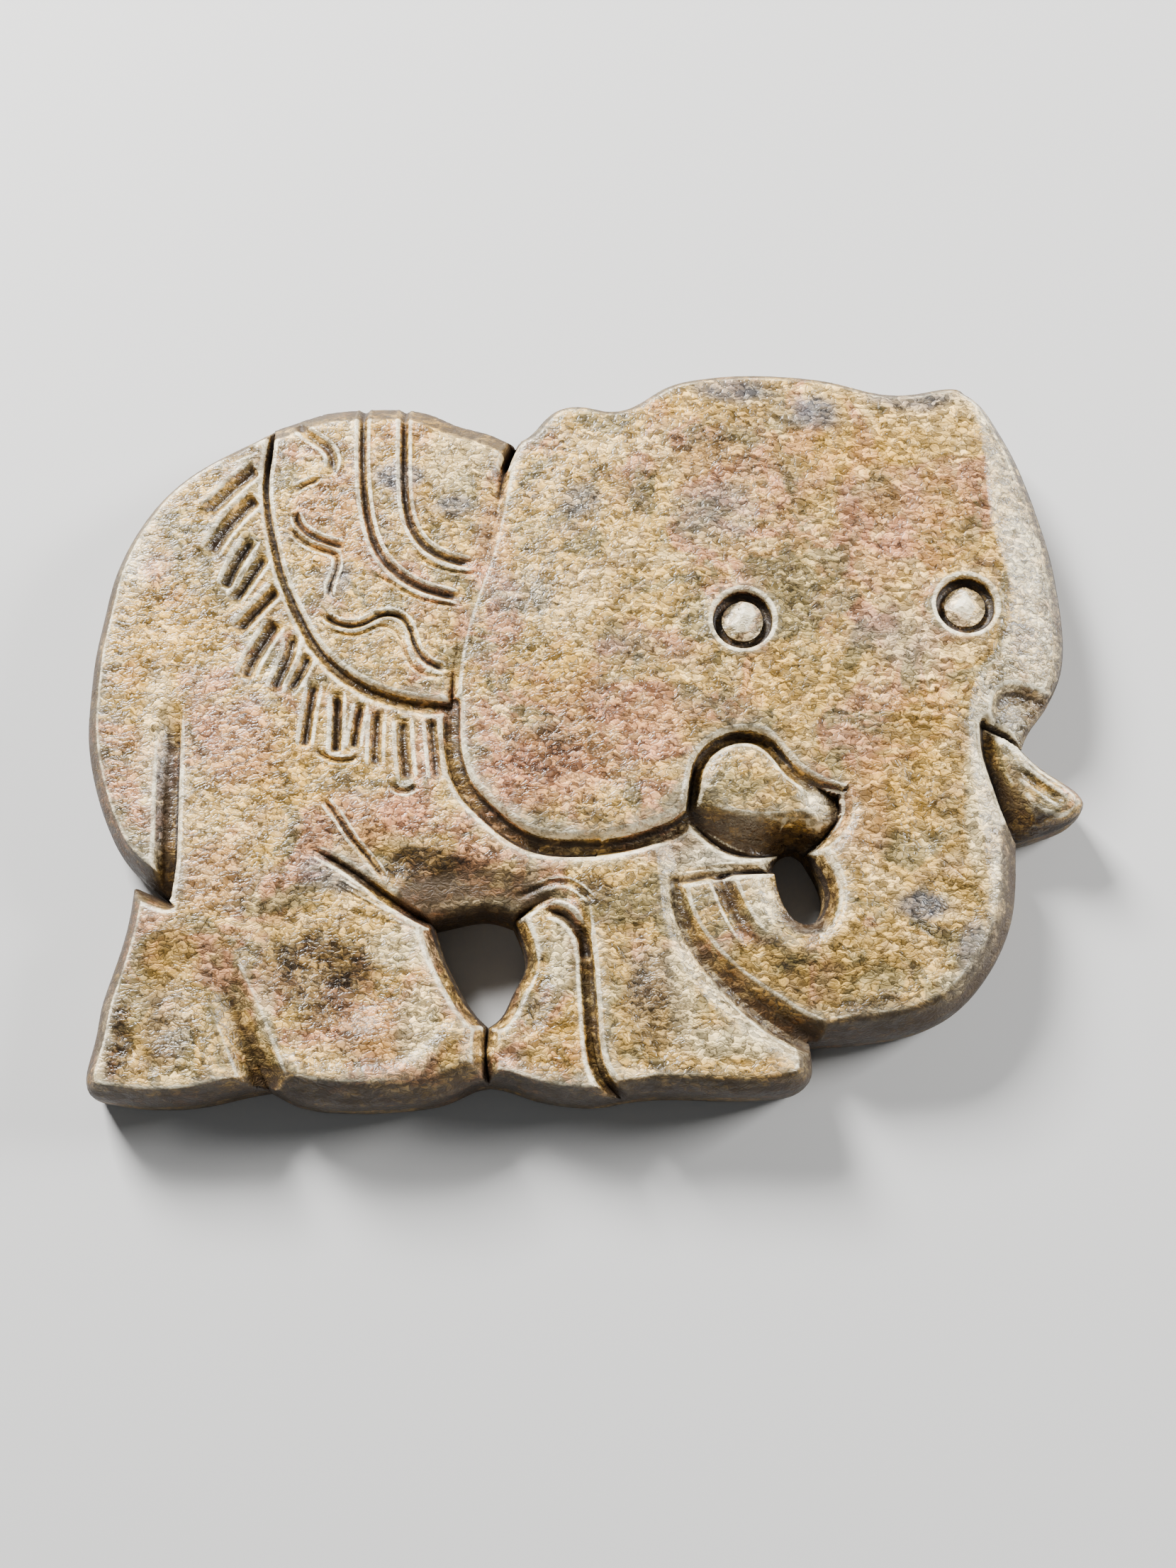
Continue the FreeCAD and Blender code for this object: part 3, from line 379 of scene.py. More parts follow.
PATCH_TONES = {
    "gold_patch": "#c4923c", "pink_patch": "#ad7456", "cream_and_highlight_patch": "#efd9a6", "grey_patch": "#66666a",
    "rust_patch": "#5e321c", "brown_stain_and_shade_patch": "#3f2d1b",
}
PATCH_CORE = 0.6      # share of a cloud's half-width inside which it is at full strength
PATCH_END = 1.4       # share at which it has faded away


# ---- curves and distances ----

NOISE_CELLS = 64      # the noise repeats after this many cells


def smooth_line(points, step):
    """Evenly spaced points on the natural cubic spline through the given points."""
    points = np.array(points, float)
    if len(points) == 2:
        count = max(2, int(np.hypot(*(points[1] - points[0])) / step) + 1)
        return points[0] + np.linspace(0, 1, count)[:, None] * (points[1] - points[0])
    knots = np.concatenate([[0], np.cumsum(np.hypot(*np.diff(points, axis=0).T))])
    gaps = np.diff(knots)
    size = len(points)
    system = np.eye(size)
    target = np.zeros((size, 2))
    slopes = np.diff(points, axis=0) / gaps[:, None]
    for i in range(1, size - 1):
        system[i, i - 1:i + 2] = gaps[i - 1], 2 * (gaps[i - 1] + gaps[i]), gaps[i]
        target[i] = 6 * (slopes[i] - slopes[i - 1])
    bend = np.linalg.solve(system, target)
    places = np.linspace(0, knots[-1], max(3, int(knots[-1] / step) + 1))
    piece = np.clip(np.searchsorted(knots, places, side="right") - 1, 0, size - 2)
    low = (places - knots[piece])[:, None]
    high = (knots[piece + 1] - places)[:, None]
    gap = gaps[piece][:, None]
    curve = (bend[piece] * high ** 3 + bend[piece + 1] * low ** 3) / (6 * gap)
    curve += (points[piece] / gap - bend[piece] * gap / 6) * high
    curve += (points[piece + 1] / gap - bend[piece + 1] * gap / 6) * low
    return curve


def follow(xy, line):
    """Distance of each point from a line, the share of the line passed, and the line's length."""
    distance = np.full(len(xy), np.inf)
    passed = np.zeros(len(xy))
    run = 0.0
    for start, end in zip(line[:-1], line[1:]):
        step = end - start
        length = np.hypot(*step)
        share = np.clip((xy - start) @ step / length ** 2, 0, 1)
        gap = xy - start - share[:, None] * step
        here = np.hypot(gap[:, 0], gap[:, 1])
        closer = here < distance
        distance[closer] = here[closer]
        passed[closer] = run + share[closer] * length
        run += length
    return distance, passed / run, run


def signed_offset(xy, line):
    """Distance to the left of a line, as if its end pieces ran on; negative on its right."""
    nearest = np.full(len(xy), np.inf)
    offset = np.zeros(len(xy))
    for start, end in zip(line[:-1], line[1:]):
        step = (end - start) / np.hypot(*(end - start))
        away = xy - start
        along = np.clip(away @ step, 0, np.hypot(*(end - start)))
        here = np.hypot(*(away - along[:, None] * step).T)
        closer = here < nearest
        nearest[closer] = here[closer]
        offset[closer] = step[0] * away[closer, 1] - step[1] * away[closer, 0]
    return offset


def near(xy, line, reach):
    """Indices of the points in the line's box, grown by reach."""
    low = line.min(0) - reach
    high = line.max(0) + reach
    return np.flatnonzero(((xy >= low) & (xy <= high)).all(1))


def ease(value):
    """0 to 1 with level ends."""
    value = np.clip(value, 0, 1)
    return value * value * (3 - 2 * value)


def beyond(value, start, length):
    """0 up to the start, easing to 1 over the length, which is negative for falling values."""
    return ease((value - start) / length)


def spaced(values, share):
    """Read evenly spaced values at shares of the way along."""
    return np.interp(share, np.linspace(0, 1, len(values)), values)


def lattice_noise(xy, cell, seed, stretch=1.0, turn=0.0):
    """Smooth noise between -1 and 1 with the given cell size, stretched along a direction."""
    table = np.random.default_rng(seed).uniform(-1, 1, (NOISE_CELLS, NOISE_CELLS))
    along = np.array([math.cos(turn), math.sin(turn)])
    across = np.array([-math.sin(turn), math.cos(turn)])
    u = xy @ along / (cell * stretch)
    v = xy @ across / cell
    column = np.floor(u).astype(int)
    row = np.floor(v).astype(int)
    fu = ease(u - column)
    fv = ease(v - row)

    def corner(du, dv):
        return table[(row + dv) % NOISE_CELLS, (column + du) % NOISE_CELLS]

    low = corner(0, 0) * (1 - fu) + corner(1, 0) * fu
    high = corner(0, 1) * (1 - fu) + corner(1, 1) * fu
    return low * (1 - fv) + high * fv


def layered(xy, layers):
    """The sum of layers of noise: amount, cell size, seed and, if need be, stretch and direction."""
    return sum(amount * lattice_noise(xy, *settings) for amount, *settings in layers)


ALL_LINES = {name: smooth_line(points, LINE_STEP)
             for group in (RIM_LINES, GROOVE_LINES, BLEND_LINES) for name, points in group.items()}
STROKE_LINES = [smooth_line(stroke[0], LINE_STEP) for stroke in STROKES]


# ---- relief ----

# Head and trunk share one very low dome, and the near tusk has its own: height, top, and how fast
# it falls along X and along Y for each square millimetre.
HEAD_DOME = (7.0, (14, 9), (0.0007, 0.0009))
TUSK_DOME = (6.75, (11.5, -3.8), (0.018, 0.03))
TRUNK_DROP = 0.25     # the trunk lies lower than the head
TIP_DROP = 0.3        # and its lower end and its curl lower still
FAR_TUSK_AXIS = [(27.6, -1), (30.6, -3), (33.6, -4.8)]
FAR_TUSK_ROOT = 5.7
FAR_TUSK_DROP = 0.9
FLAT_FACES = {"saddle_cloth": 6.2, "far_fore_leg": 5.45}
BODY_FACE = 6.05
FAR_HIND_DROP = 0.4
RUMP_DROP = 0.15

FACET_EDGE = 0.4      # a facet's painted highlight or painted shade comes in over this distance from its crease
LIP_PLACE = 1.3       # where a stroke's ridges stand, in half-widths from its middle
LIP_SPREAD = 0.3
STROKE_ROUND = 1.6    # how round a stroke's bottom is
EYE_LIP_PLACE = 0.35  # how far outside the ring its swelling stands
EYE_LIP_SPREAD = 0.42
# The drilled ring's outer wall, from the rim in: distance from the ring's radius, share of depth.
EYE_WALL = [(0.04, 0), (-0.08, 0.8), (-0.3, 1)]

UNEVEN = [(0.11, 6.5, SEED), (0.045, 2.4, SEED + 1, 1.5, 0.4)]
GRAIN = [(0.01, 0.6, SEED + 2), (0.007, 0.36, SEED + 3, 1.0, 0.6)]


def dome(xy, height, top, fall):
    return height - (xy - top) ** 2 @ np.array(fall)


def face_height(name, xy):
    """Height of an element's face before anything is cut into it."""
    x, y = xy.T
    if name in ("head", "trunk"):
        drop = TRUNK_DROP * beyond(y, -0.5, -5.5)
        if name == "head":
            return dome(xy, *HEAD_DOME) - drop * beyond(x, 13, 4)
        curl = beyond(x, 13, -7) * beyond(y, -6, -3)
        return dome(xy, *HEAD_DOME) - drop - TIP_DROP * (beyond(y, -13, -8) + curl)
    if name == "near_tusk":
        return dome(xy, *TUSK_DOME)
    if name == "far_tusk":
        passed = follow(xy, smooth_line(FAR_TUSK_AXIS, 0.3))[1]
        return FAR_TUSK_ROOT - FAR_TUSK_DROP * passed ** 1.5
    if name in FLAT_FACES:
        return np.full(len(xy), FLAT_FACES[name])
    far_hind = beyond(y, -13.5, -5) * beyond(x, -23.8, -2.5)
    return BODY_FACE - FAR_HIND_DROP * far_hind - RUMP_DROP * beyond(x, -28, -4)


def add_facets(name, xy, height):
    """Tilt the face beyond its creases; also say where each facet gets its painted highlight or painted
    shade.
    """
    marks = {"facet_highlight": np.zeros(len(xy)), "flank": np.zeros(len(xy))}
    for members, points, side, slope, most, kind in FACETS:
        if name not in members:
            continue
        offset = np.maximum(0, side * signed_offset(xy, smooth_line(points, LINE_STEP)))
        height += np.clip(slope * offset, -most, most)
        if kind:
            marks[kind] = np.maximum(marks[kind], ease(offset / FACET_EDGE))
    return height, marks


def swell(xy, height):
    """Give the face its broad soft hollows and swellings."""
    for points, width, depth in SWELLS:
        line = smooth_line(points, 2 * LINE_STEP)
        here = near(xy, line, width / 2)
        height[here] -= depth * (1 - ease(2 * follow(xy[here], line)[0] / width))
    return height


def cut_lines(name, xy, face):
    """Bring the face down to the height of each line round it; also say how near a darkened rim it is,
    for the rim's dark skin and painted shade.
    """
    height = face.copy()
    rim = np.zeros(len(xy))
    for line_name in ELEMENTS[name]:
        if line_name in BLEND_LINES:
            continue
        default = RIM_SHAPE if line_name in RIM_LINES else GROOVE_SHAPE
        shape = SHAPES.get((name, line_name), SHAPES.get(line_name, default))
        widths = LINE_WIDTHS.get(line_name, [1])
        line = ALL_LINES[line_name]
        here = near(xy, line, shape[-1][0] * max(widths))
        distance, passed, _ = follow(xy[here], line)
        foot = spaced(LINE_HEIGHTS[line_name], passed)
        share = np.interp(distance / spaced(widths, passed), *zip((0, 0), *shape))
        height[here] = np.minimum(height[here], foot + (face[here] - foot) * share)
        if line_name in DARK_RIMS:
            rim[here] = np.maximum(rim[here], 1 - share)
    return height, rim


def cut_strokes(xy, height):
    """Engrave every stroke that crosses the points; also say how deep each point was cut, which darkens
    the cuts with dirt and painted shade.
    """
    cut = np.zeros(len(xy))
    for (_, width, depth, start, end), line in zip(STROKES, STROKE_LINES):
        here = near(xy, line, width)
        if not len(here):
            continue
        distance, passed, run = follow(xy[here], line)
        across = distance / (width / 2)
        fade = ease(passed * run / start) * ease((1 - passed) * run / end)
        lip = LIP * (width < LIP_LIMIT) * np.exp(-((across - LIP_PLACE) / LIP_SPREAD) ** 2)
        sunk = depth * fade * (1 - np.clip(across, 0, 1) ** STROKE_ROUND)
        height[here] += depth * fade * lip - sunk
        cut[here] = np.maximum(cut[here], sunk)
    return height, cut


def drill_eyes(xy, height):
    """Sink the two ring-shaped sockets and swell the stone a little round them."""
    offsets, shares = zip(*reversed(EYE_WALL))
    for centre in EYES.values():
        beyond_ring = np.hypot(*(xy - centre).T) - EYE_RING
        lip = np.exp(-((beyond_ring - EYE_LIP_PLACE) / EYE_LIP_SPREAD) ** 2)
        height += EYE_LIP * lip * (beyond_ring > 0)
        height -= EYE_DEPTH * np.interp(beyond_ring, offsets, shares)
    return height


def relief(name, xy, grain=True):
    """The finished height of an element's face, and marks for the painted highlight and painted shade of
    its facets, the dark skin and painted shade of its rim, and the dirt and painted shade of its cuts.
    """
    face, marks = add_facets(name, xy, face_height(name, xy))
    face = swell(xy, face + layered(xy, UNEVEN))
    height, marks["rim"] = cut_lines(name, xy, face)
    height, marks["cut"] = cut_strokes(xy, height)
    if name == "head":
        height = drill_eyes(xy, height)
    if grain:
        height = height + layered(xy, GRAIN)
    return height, marks


# ---- triangles ----

RING_POINTS = 40      # points round each ring of an eye's drilled wall
GRID_CLEAR = 0.42     # grid points keep this share of the spacing away from the lines
GRID_X = (-35, 35)
GRID_Y = (-26, 26.5)
MERGE = 1e-5          # points closer than this become one
SLIVER = 1e-7         # twice the area under which a triangle is dropped


def circle(count):
    """Evenly spaced points on the unit circle."""
    turns = np.linspace(0, 2 * math.pi, count, endpoint=False)
    return np.column_stack([np.cos(turns), np.sin(turns)])


def plan_points():
    """All points of the plan: along the lines and strokes, round the eyes, and a hexagonal grid."""
    places = {}
    edges = []

    def place(x, y):
        return places.setdefault((round(x, 3), round(y, 3)), len(places))

    def chain(line, closed=False):
        numbers = [place(x, y) for x, y in line]
        edges.extend(pair for pair in zip(numbers[:-1], numbers[1:]) if pair[0] != pair[1])
        if closed:
            edges.append((numbers[-1], numbers[0]))

    kept = list(ALL_LINES.values()) + STROKE_LINES
    for line in kept:
        chain(line)
    for centre in EYES.values():
        for offset, _ in EYE_WALL:
            ring = np.array(centre) + (EYE_RING + offset) * circle(RING_POINTS)
            kept.append(ring)
            chain(ring, closed=True)

    rows = []
    for row, y in enumerate(np.arange(*GRID_Y, GRID * math.sqrt(3) / 2)):
        x = np.arange(*GRID_X, GRID) + (row % 2) * GRID / 2
        rows.append(np.stack([x, np.full_like(x, y)], 1))
    grid = np.concatenate(rows)
    free = np.ones(len(grid), bool)
    for line in kept:
        here = near(grid, line, GRID)
        free[here] &= follow(grid[here], line)[0] > GRID * GRID_CLEAR
    for x, y in grid[free]:
        place(x, y)
    return list(places), edges


def inside(xy, lines):
    """Which points lie inside the closed loop that the lines make."""
    odd = np.zeros(len(xy), bool)
    x, y = xy.T
    for line in lines:
        for (ax, ay), (bx, by) in zip(line[:-1], line[1:]):
            crosses = (ay > y) != (by > y)
            odd ^= crosses & (x < (bx - ax) * (y - ay) / (by - ay + 1e-12) + ax)
    return odd


def split_plan():
    """Triangulate the plan; return its points, its triangles and each triangle's element."""
    points, edges = plan_points()
    result = delaunay_2d_cdt([Vector(p) for p in points], edges, [], 0, MERGE)
    xy = np.array([tuple(v) for v in result[0]])
    triangles = np.array(result[2])
    middles = xy[triangles].mean(1)
    owner = np.full(len(triangles), -1)
    for number, lines in enumerate(ELEMENTS.values()):
        owner[inside(middles, [ALL_LINES[name] for name in lines])] = number
    corners = xy[triangles]
    side_a = corners[:, 1] - corners[:, 0]
    side_b = corners[:, 2] - corners[:, 0]
    area = side_a[:, 0] * side_b[:, 1] - side_a[:, 1] * side_b[:, 0]
    triangles[area < 0] = triangles[area < 0][:, ::-1]
    keep = (owner >= 0) & (np.abs(area) > SLIVER)
    return xy, triangles[keep], owner[keep]


def directed_sides(triangles):
    return np.concatenate([triangles[:, [0, 1]], triangles[:, [1, 2]], triangles[:, [2, 0]]])


def halve(xy, triangles):
    """Split every triangle into four; also return the new point on each edge."""
    sides = np.sort(directed_sides(triangles), 1)
    unique, which = np.unique(sides, axis=0, return_inverse=True)
    ab, bc, ca = len(xy) + which.reshape(3, -1)
    a, b, c = triangles.T
    quarters = ((a, ab, ca), (ab, b, bc), (ca, bc, c), (ab, bc, ca))
    finer = np.concatenate([np.stack(corners, 1) for corners in quarters])
    points = np.concatenate([xy, xy[unique].mean(1)])
    return points, finer, {tuple(side): len(xy) + i for i, side in enumerate(unique)}


def border_edges(triangles):
    """The directed edges that only one triangle has."""
    directed = directed_sides(triangles)
    _, first, counts = np.unique(np.sort(directed, 1), axis=0, return_index=True, return_counts=True)
    return directed[first[counts == 1]]


def match_border(triangles, middles):
    """Split the triangles along the border so that they meet the border's finer edges."""
    border = {tuple(sorted(edge)) for edge in border_edges(triangles).tolist()}
    done = []
    for a, b, c in triangles.tolist():
        sides = [tuple(sorted(side)) for side in ((a, b), (b, c), (c, a))]
        split = [middles[side] if side in border else None for side in sides]
        while split[0] is None and any(m is not None for m in split):
            a, b, c = b, c, a
            split = split[1:] + split[:1]
        if split[0] is not None and split[1] is None and split[2] is not None:
            a, b, c = c, a, b
            split = split[2:] + split[:2]
        ab, bc, ca = split
        if ab is None:
            done.append((a, b, c))
        elif bc is None:
            done += [(a, ab, c), (ab, b, c)]
        elif ca is None:
            done += [(a, ab, bc), (ab, b, bc), (a, bc, c)]
        else:
            done += [(a, ab, ca), (ab, b, bc), (ca, bc, c), (ab, bc, ca)]
    return np.array(done)


# ---- meshes ----

MAP_LOW = (-36.0, -28.0)
MAP_STEP = 0.1
MAP_SPREAD = 1.5      # how far, in cells, a map's values are carried out over the rim
LEAST_WEIGHT = 1e-3
HOLLOW_WIDTHS = {"hollow": 0.16, "hollow_wide": 0.75}
WALL_LEVELS = 6
WALL_BULGE = 0.1
WALL_WAVE = 0.03
WALL_CELL = 1.6
BACK_BEVEL = 0.55
SHARP_ANGLE = 62      # degrees; flatter edges are shaded smooth
RAGGED = [(0.22, 1.6, SEED + 20), (0.1, 0.6, SEED + 21)]


def rim_normals(xy, triangles):
    """Outward direction at every point of the plaque's outline and of its openings."""
    normals = np.zeros_like(xy)
    edges = border_edges(triangles)
    step = xy[edges[:, 1]] - xy[edges[:, 0]]
    outward = np.stack([step[:, 1], -step[:, 0]], 1)
    outward /= np.hypot(*outward.T)[:, None]
    for end in (0, 1):
        np.add.at(normals, edges[:, end], outward)
    length = np.hypot(*normals.T)
    normals[length > 0] /= length[length > 0][:, None]
    return normals


def blurred(heights, sigma):
    """The height map smoothed with a round Gaussian of the given width in cells."""
    rows = np.fft.fftfreq(heights.shape[0])[:, None]
    columns = np.fft.rfftfreq(heights.shape[1])[None, :]
    weight = np.exp(-2 * (math.pi * sigma) ** 2 * (rows ** 2 + columns ** 2))
    return np.fft.irfft2(np.fft.rfft2(heights) * weight, s=heights.shape)


class HollowMaps:
    """How far the stone lies below (positive) or above its smoothed self, at two widths."""

    def __init__(self):
        self.x = np.arange(MAP_LOW[0], -MAP_LOW[0], MAP_STEP)
        self.y = np.arange(MAP_LOW[1], -MAP_LOW[1], MAP_STEP)
        heights = self.heights()
        stone = (heights > 0).astype(float)
        self.maps = {}
        for kind, width in HOLLOW_WIDTHS.items():
            weight = np.maximum(blurred(stone, width / MAP_STEP), LEAST_WEIGHT)
            hollow = (blurred(heights, width / MAP_STEP) / weight - heights) * stone
            spread_weight = np.maximum(blurred(stone, MAP_SPREAD), LEAST_WEIGHT)
            self.maps[kind] = np.where(stone > 0, hollow, blurred(hollow, MAP_SPREAD) / spread_weight)

    def heights(self):
        """The whole plaque's relief on the map's grid, with 0 where there is no stone."""
        grid = np.stack(np.meshgrid(self.x, self.y), -1).reshape(-1, 2)
        heights = np.zeros(len(grid))
        for name, lines in ELEMENTS.items():
            boundary = [ALL_LINES[line] for line in lines]
            box = near(grid, np.concatenate(boundary), 0.0)
            here = box[inside(grid[box], boundary)]
            heights[here] = relief(name, grid[here], grain=False)[0]
        for centre in EYES.values():
            heights[np.hypot(*(grid - centre).T) < EYE_CORE] += CORE_HEIGHT
        return heights.reshape(len(self.y), len(self.x))

    def marks(self, xy):
        """Both maps read at the given points."""
        column = np.clip((xy[:, 0] - self.x[0]) / MAP_STEP, 0, len(self.x) - 1.01)
        row = np.clip((xy[:, 1] - self.y[0]) / MAP_STEP, 0, len(self.y) - 1.01)
        i = row.astype(int)
        j = column.astype(int)
        u = column - j
        v = row - i

        def read(values):
            low = values[i, j] * (1 - u) + values[i, j + 1] * u
            high = values[i + 1, j] * (1 - u) + values[i + 1, j + 1] * u
            return low * (1 - v) + high * v

        return {kind: read(values) for kind, values in self.maps.items()}


def numbered(size, used, start=0):
    """For each point of the plan its number in a mesh, or -1 if the mesh doesn't use it."""
    numbers = np.full(size, -1)
    numbers[used] = np.arange(len(used)) + start
    return numbers


def back_rise(xy):
    """How far the back lies above the floor: nothing, but for a rounded edge along the rim."""
    from_rim = np.full(len(xy), np.inf)
    for name in RIM_LINES:
        here = near(xy, ALL_LINES[name], BACK_BEVEL)
        from_rim[here] = np.minimum(from_rim[here], follow(xy[here], ALL_LINES[name])[0])
    return BACK_BEVEL * (1 - np.sqrt(1 - (1 - np.clip(from_rim / BACK_BEVEL, 0, 1)) ** 2))


def wall_rings(xy, outward, low, high):
    """Rings of points down a wall, between its upper and its lower edge, slightly bulged."""
    rings = []
    for level in range(1, WALL_LEVELS):
        share = 1 - level / WALL_LEVELS
        wave = WALL_WAVE * lattice_noise(xy, WALL_CELL, SEED + 9 + level)
        moved = xy + outward * (WALL_BULGE * math.sin(math.pi * share) + wave)[:, None]
        rings.append(np.column_stack([moved, low + (high - low) * share]))
    return rings


def element_mesh(name, xy, fine, coarse, middles, outward, hollows):
    """A closed mesh: relief on top, a flat back with a bevelled rim, and walls between them."""
    used = np.unique(fine)
    top_of = numbered(len(xy), used)
    height, marks = relief(name, xy[used])
    top = np.column_stack([xy[used], height])

    back_faces = match_border(coarse, middles)
    used_back = np.unique(back_faces)
    back_of = numbered(len(xy), used_back, len(top))
    back = np.column_stack([xy[used_back], back_rise(xy[used_back])])

    edges = border_edges(fine)
    loop = np.unique(edges)
    low = back[back_of[loop] - len(top), 2]
    high = top[top_of[loop], 2]
    rings = wall_rings(xy[loop], outward[loop], low, high)
    starts = len(top) + len(back) + len(loop) * np.arange(len(rings))
    levels = [top_of, *(numbered(len(xy), loop, start) for start in starts), back_of]
    faces = [top_of[fine], back_of[back_faces][:, ::-1]]
    a, b = edges.T
    for upper, lower in zip(levels[:-1], levels[1:]):
        faces.append(np.stack([upper[b], upper[a], lower[a]], 1))
        faces.append(np.stack([upper[b], lower[a], lower[b]], 1))

    points = np.concatenate([top, back, *rings])
    rest = len(points) - len(top)
    marks.update(hollows.marks(top[:, :2]))
    marks = {kind: np.pad(values, (0, rest)) for kind, values in marks.items()}
    # Walls are marked so that the material darkens them with painted shade.
    marks["wall"] = np.pad(np.zeros(len(top)), (0, rest), constant_values=1)
    return make_piece(name, points, np.concatenate(faces), marks)


def patch_marks(xy):
    """How strongly each cloud of colour shows at each point."""
    marks = {}
    ragged = layered(xy, RAGGED)
    for kind, patches in PATCHES.items():
        marks[kind] = np.zeros(len(xy))
        for x, y, half_x, half_y, strength in patches:
            away = np.hypot((xy[:, 0] - x) / half_x, (xy[:, 1] - y) / half_y) + ragged
            shown = 1 - beyond(away, PATCH_CORE, PATCH_END - PATCH_CORE)
            marks[kind] = np.maximum(marks[kind], strength * shown)
    return marks


def make_piece(name, points, faces, marks):
    """A Blender object from millimetre points, with its marks stored for the material."""
    mesh = bpy.data.meshes.new(name + "_stone")
    mesh.from_pydata((points * MM).tolist(), [], faces.tolist())
    mesh.update()
    mesh.shade_smooth()
    mesh.set_sharp_from_angle(angle=math.radians(SHARP_ANGLE))
    for kind, values in {**marks, **patch_marks(points[:, :2])}.items():
        attribute = mesh.attributes.new(kind, "FLOAT", "POINT")
        attribute.data.foreach_set("value", np.ascontiguousarray(values, np.float32))
    piece = bpy.data.objects.new(name + "_stone", mesh)
    bpy.context.scene.collection.objects.link(piece)
    return piece


def build_elements():
    """One piece for each carved element."""
    xy, coarse, owner = split_plan()
    middle_xy, middle, _ = halve(xy, coarse)
    fine_xy, fine, middles = halve(middle_xy, middle)
    middle_owner = np.tile(owner, 4)
    fine_owner = np.tile(middle_owner, 4)
    outward = rim_normals(fine_xy, fine)
    hollows = HollowMaps()
    pieces = {}
    for number, name in enumerate(ELEMENTS):
        own_fine = fine[fine_owner == number]
        own_middle = middle[middle_owner == number]
        pieces[name] = element_mesh(name, fine_xy, own_fine, own_middle, middles, outward, hollows)
    return pieces


CORE_RINGS = 26
CORE_TURNS = 72
CORE_BREAKS = 6
CORE_SHOULDER = 1.0   # radius beyond which the core's top is rounded down
CORE_ROUNDING = 0.35
CORE_LEAST = 0.3      # least height of the core's edge above the ring's floor
CORE_ROOT = 0.25      # how far the core runs down into the stone
CORE_GRAIN = [(0.02, 0.35, SEED + 5)]
CORE_DARK_BELOW = 0.5      # height over the ring's floor below which a core is darkened with dirt and painted shade
CORE_DIRT_AND_SHADE = {"hollow": 0.35, "hollow_wide": 0.5}
CORE_FACET_HIGHLIGHT = 0.9


def core_top(xy, rng):
    """Height of an eye's core over its ring's floor: a stub broken into a few flat facets."""
    radius = np.hypot(*xy.T)
    slope = np.clip((radius - CORE_SHOULDER) / (EYE_CORE - CORE_SHOULDER), 0, 1)
    height = CORE_HEIGHT - CORE_ROUNDING * slope ** 2
    for _ in range(CORE_BREAKS):
        turn = rng.uniform(0, 2 * math.pi)
        tilt = rng.uniform(0.12, 0.4) * 1.6
        start = rng.uniform(0.35, 1.0) * 0.2
        along = xy @ np.array([math.cos(turn), math.sin(turn)])
        height = np.minimum(height, CORE_HEIGHT + 0.02 - tilt * np.maximum(0, along - start))
    return np.maximum(height + layered(xy + 7, CORE_GRAIN), CORE_LEAST)


def core_faces(top_count):
    """The triangles of a core: a fan, rings round it, a wall, and a fan for its underside."""
    around = [(i, (i + 1) % CORE_TURNS) for i in range(CORE_TURNS)]
    outer = top_count - CORE_TURNS
    under = top_count + CORE_TURNS
    faces = [(0, 1 + i, 1 + j) for i, j in around]
    for start in range(1, outer, CORE_TURNS):
        following = start + CORE_TURNS
        for i, j in around:
            faces.append((start + i, following + i, following + j))
            faces.append((start + i, following + j, start + j))
    for i, j in around:
        faces.append((outer + i, top_count + i, top_count + j))
        faces.append((outer + i, top_count + j, outer + j))
        faces.append((under, top_count + j, top_count + i))
    return np.array(faces)


def build_eye(name, centre, floor):
    """A drilled core, standing in its ring-shaped socket."""
    radii = np.linspace(0, EYE_CORE, CORE_RINGS)[1:]
    xy = np.concatenate([np.zeros((1, 2)), *(radius * circle(CORE_TURNS) for radius in radii)])
    rng = np.random.default_rng(SEED + len(name))
    top = np.column_stack([xy + centre, floor + core_top(xy, rng)])
    base = top[-CORE_TURNS:].copy()
    base[:, 2] = floor - CORE_ROOT
    points = np.concatenate([top, base, [[*centre, floor - CORE_ROOT]]])
    # Dirt and painted shade on the core's foot, down in its ring, and a painted highlight over the whole
    # core.
    low = floor + CORE_DARK_BELOW - points[:, 2]
    marks = {kind: amount * low for kind, amount in CORE_DIRT_AND_SHADE.items()}
    marks["facet_highlight"] = np.full(len(points), CORE_FACET_HIGHLIGHT)
    return make_piece(name, points, core_faces(len(top)), marks)


# ---- stone ----

# Noise in the stone: scale, detail, roughness and distortion.
BROAD = (120, 3, 0.5, 1.6)
MIDDLE = (210, 4, 0.55, 1.2)
SMALL = (460, 4, 0.6, 0.8)
MOTTLE = (1500, 4, 0.65, 0)
ELSEWHERE = (0.3, 0.1, 0.2)
WARP_SCALE = 1500
WARP = 0.0009                   # how far the flakes are bent out of line
FLAKE_TURN = (0, 0, 0.15)
FLAKE_STRETCH = (0.65, 1.5, 1)
FLAKE_SCALE = 2400
BUMP = 0.4
BUMP_DEPTH = 0.00025

# The rim, flank, shade, cut, dirt and wall tones paint shade, on the rim and in cuts and crevices
# together with dark skin and dirt; the facet and crest tones paint highlights, on the crests together
# with wear.
TONES = {
    "tan": "#ae7e5a", "gold": "#bb9654", "olive": "#7b6d48", "straw": "#dcb878", "umber": "#7f6650",
    "cream": "#ecce90", "facet": "#dccba4", "rim": "#3c2b12", "flank": "#46301c", "shade": "#3d2d1c",
    "cut": "#38281a", "dirt_and_shade": "#20150d", "wall": "#2f210d", "crest_wear_and_highlight": "#fff2d0", "floor": "#c9c8c6",
}
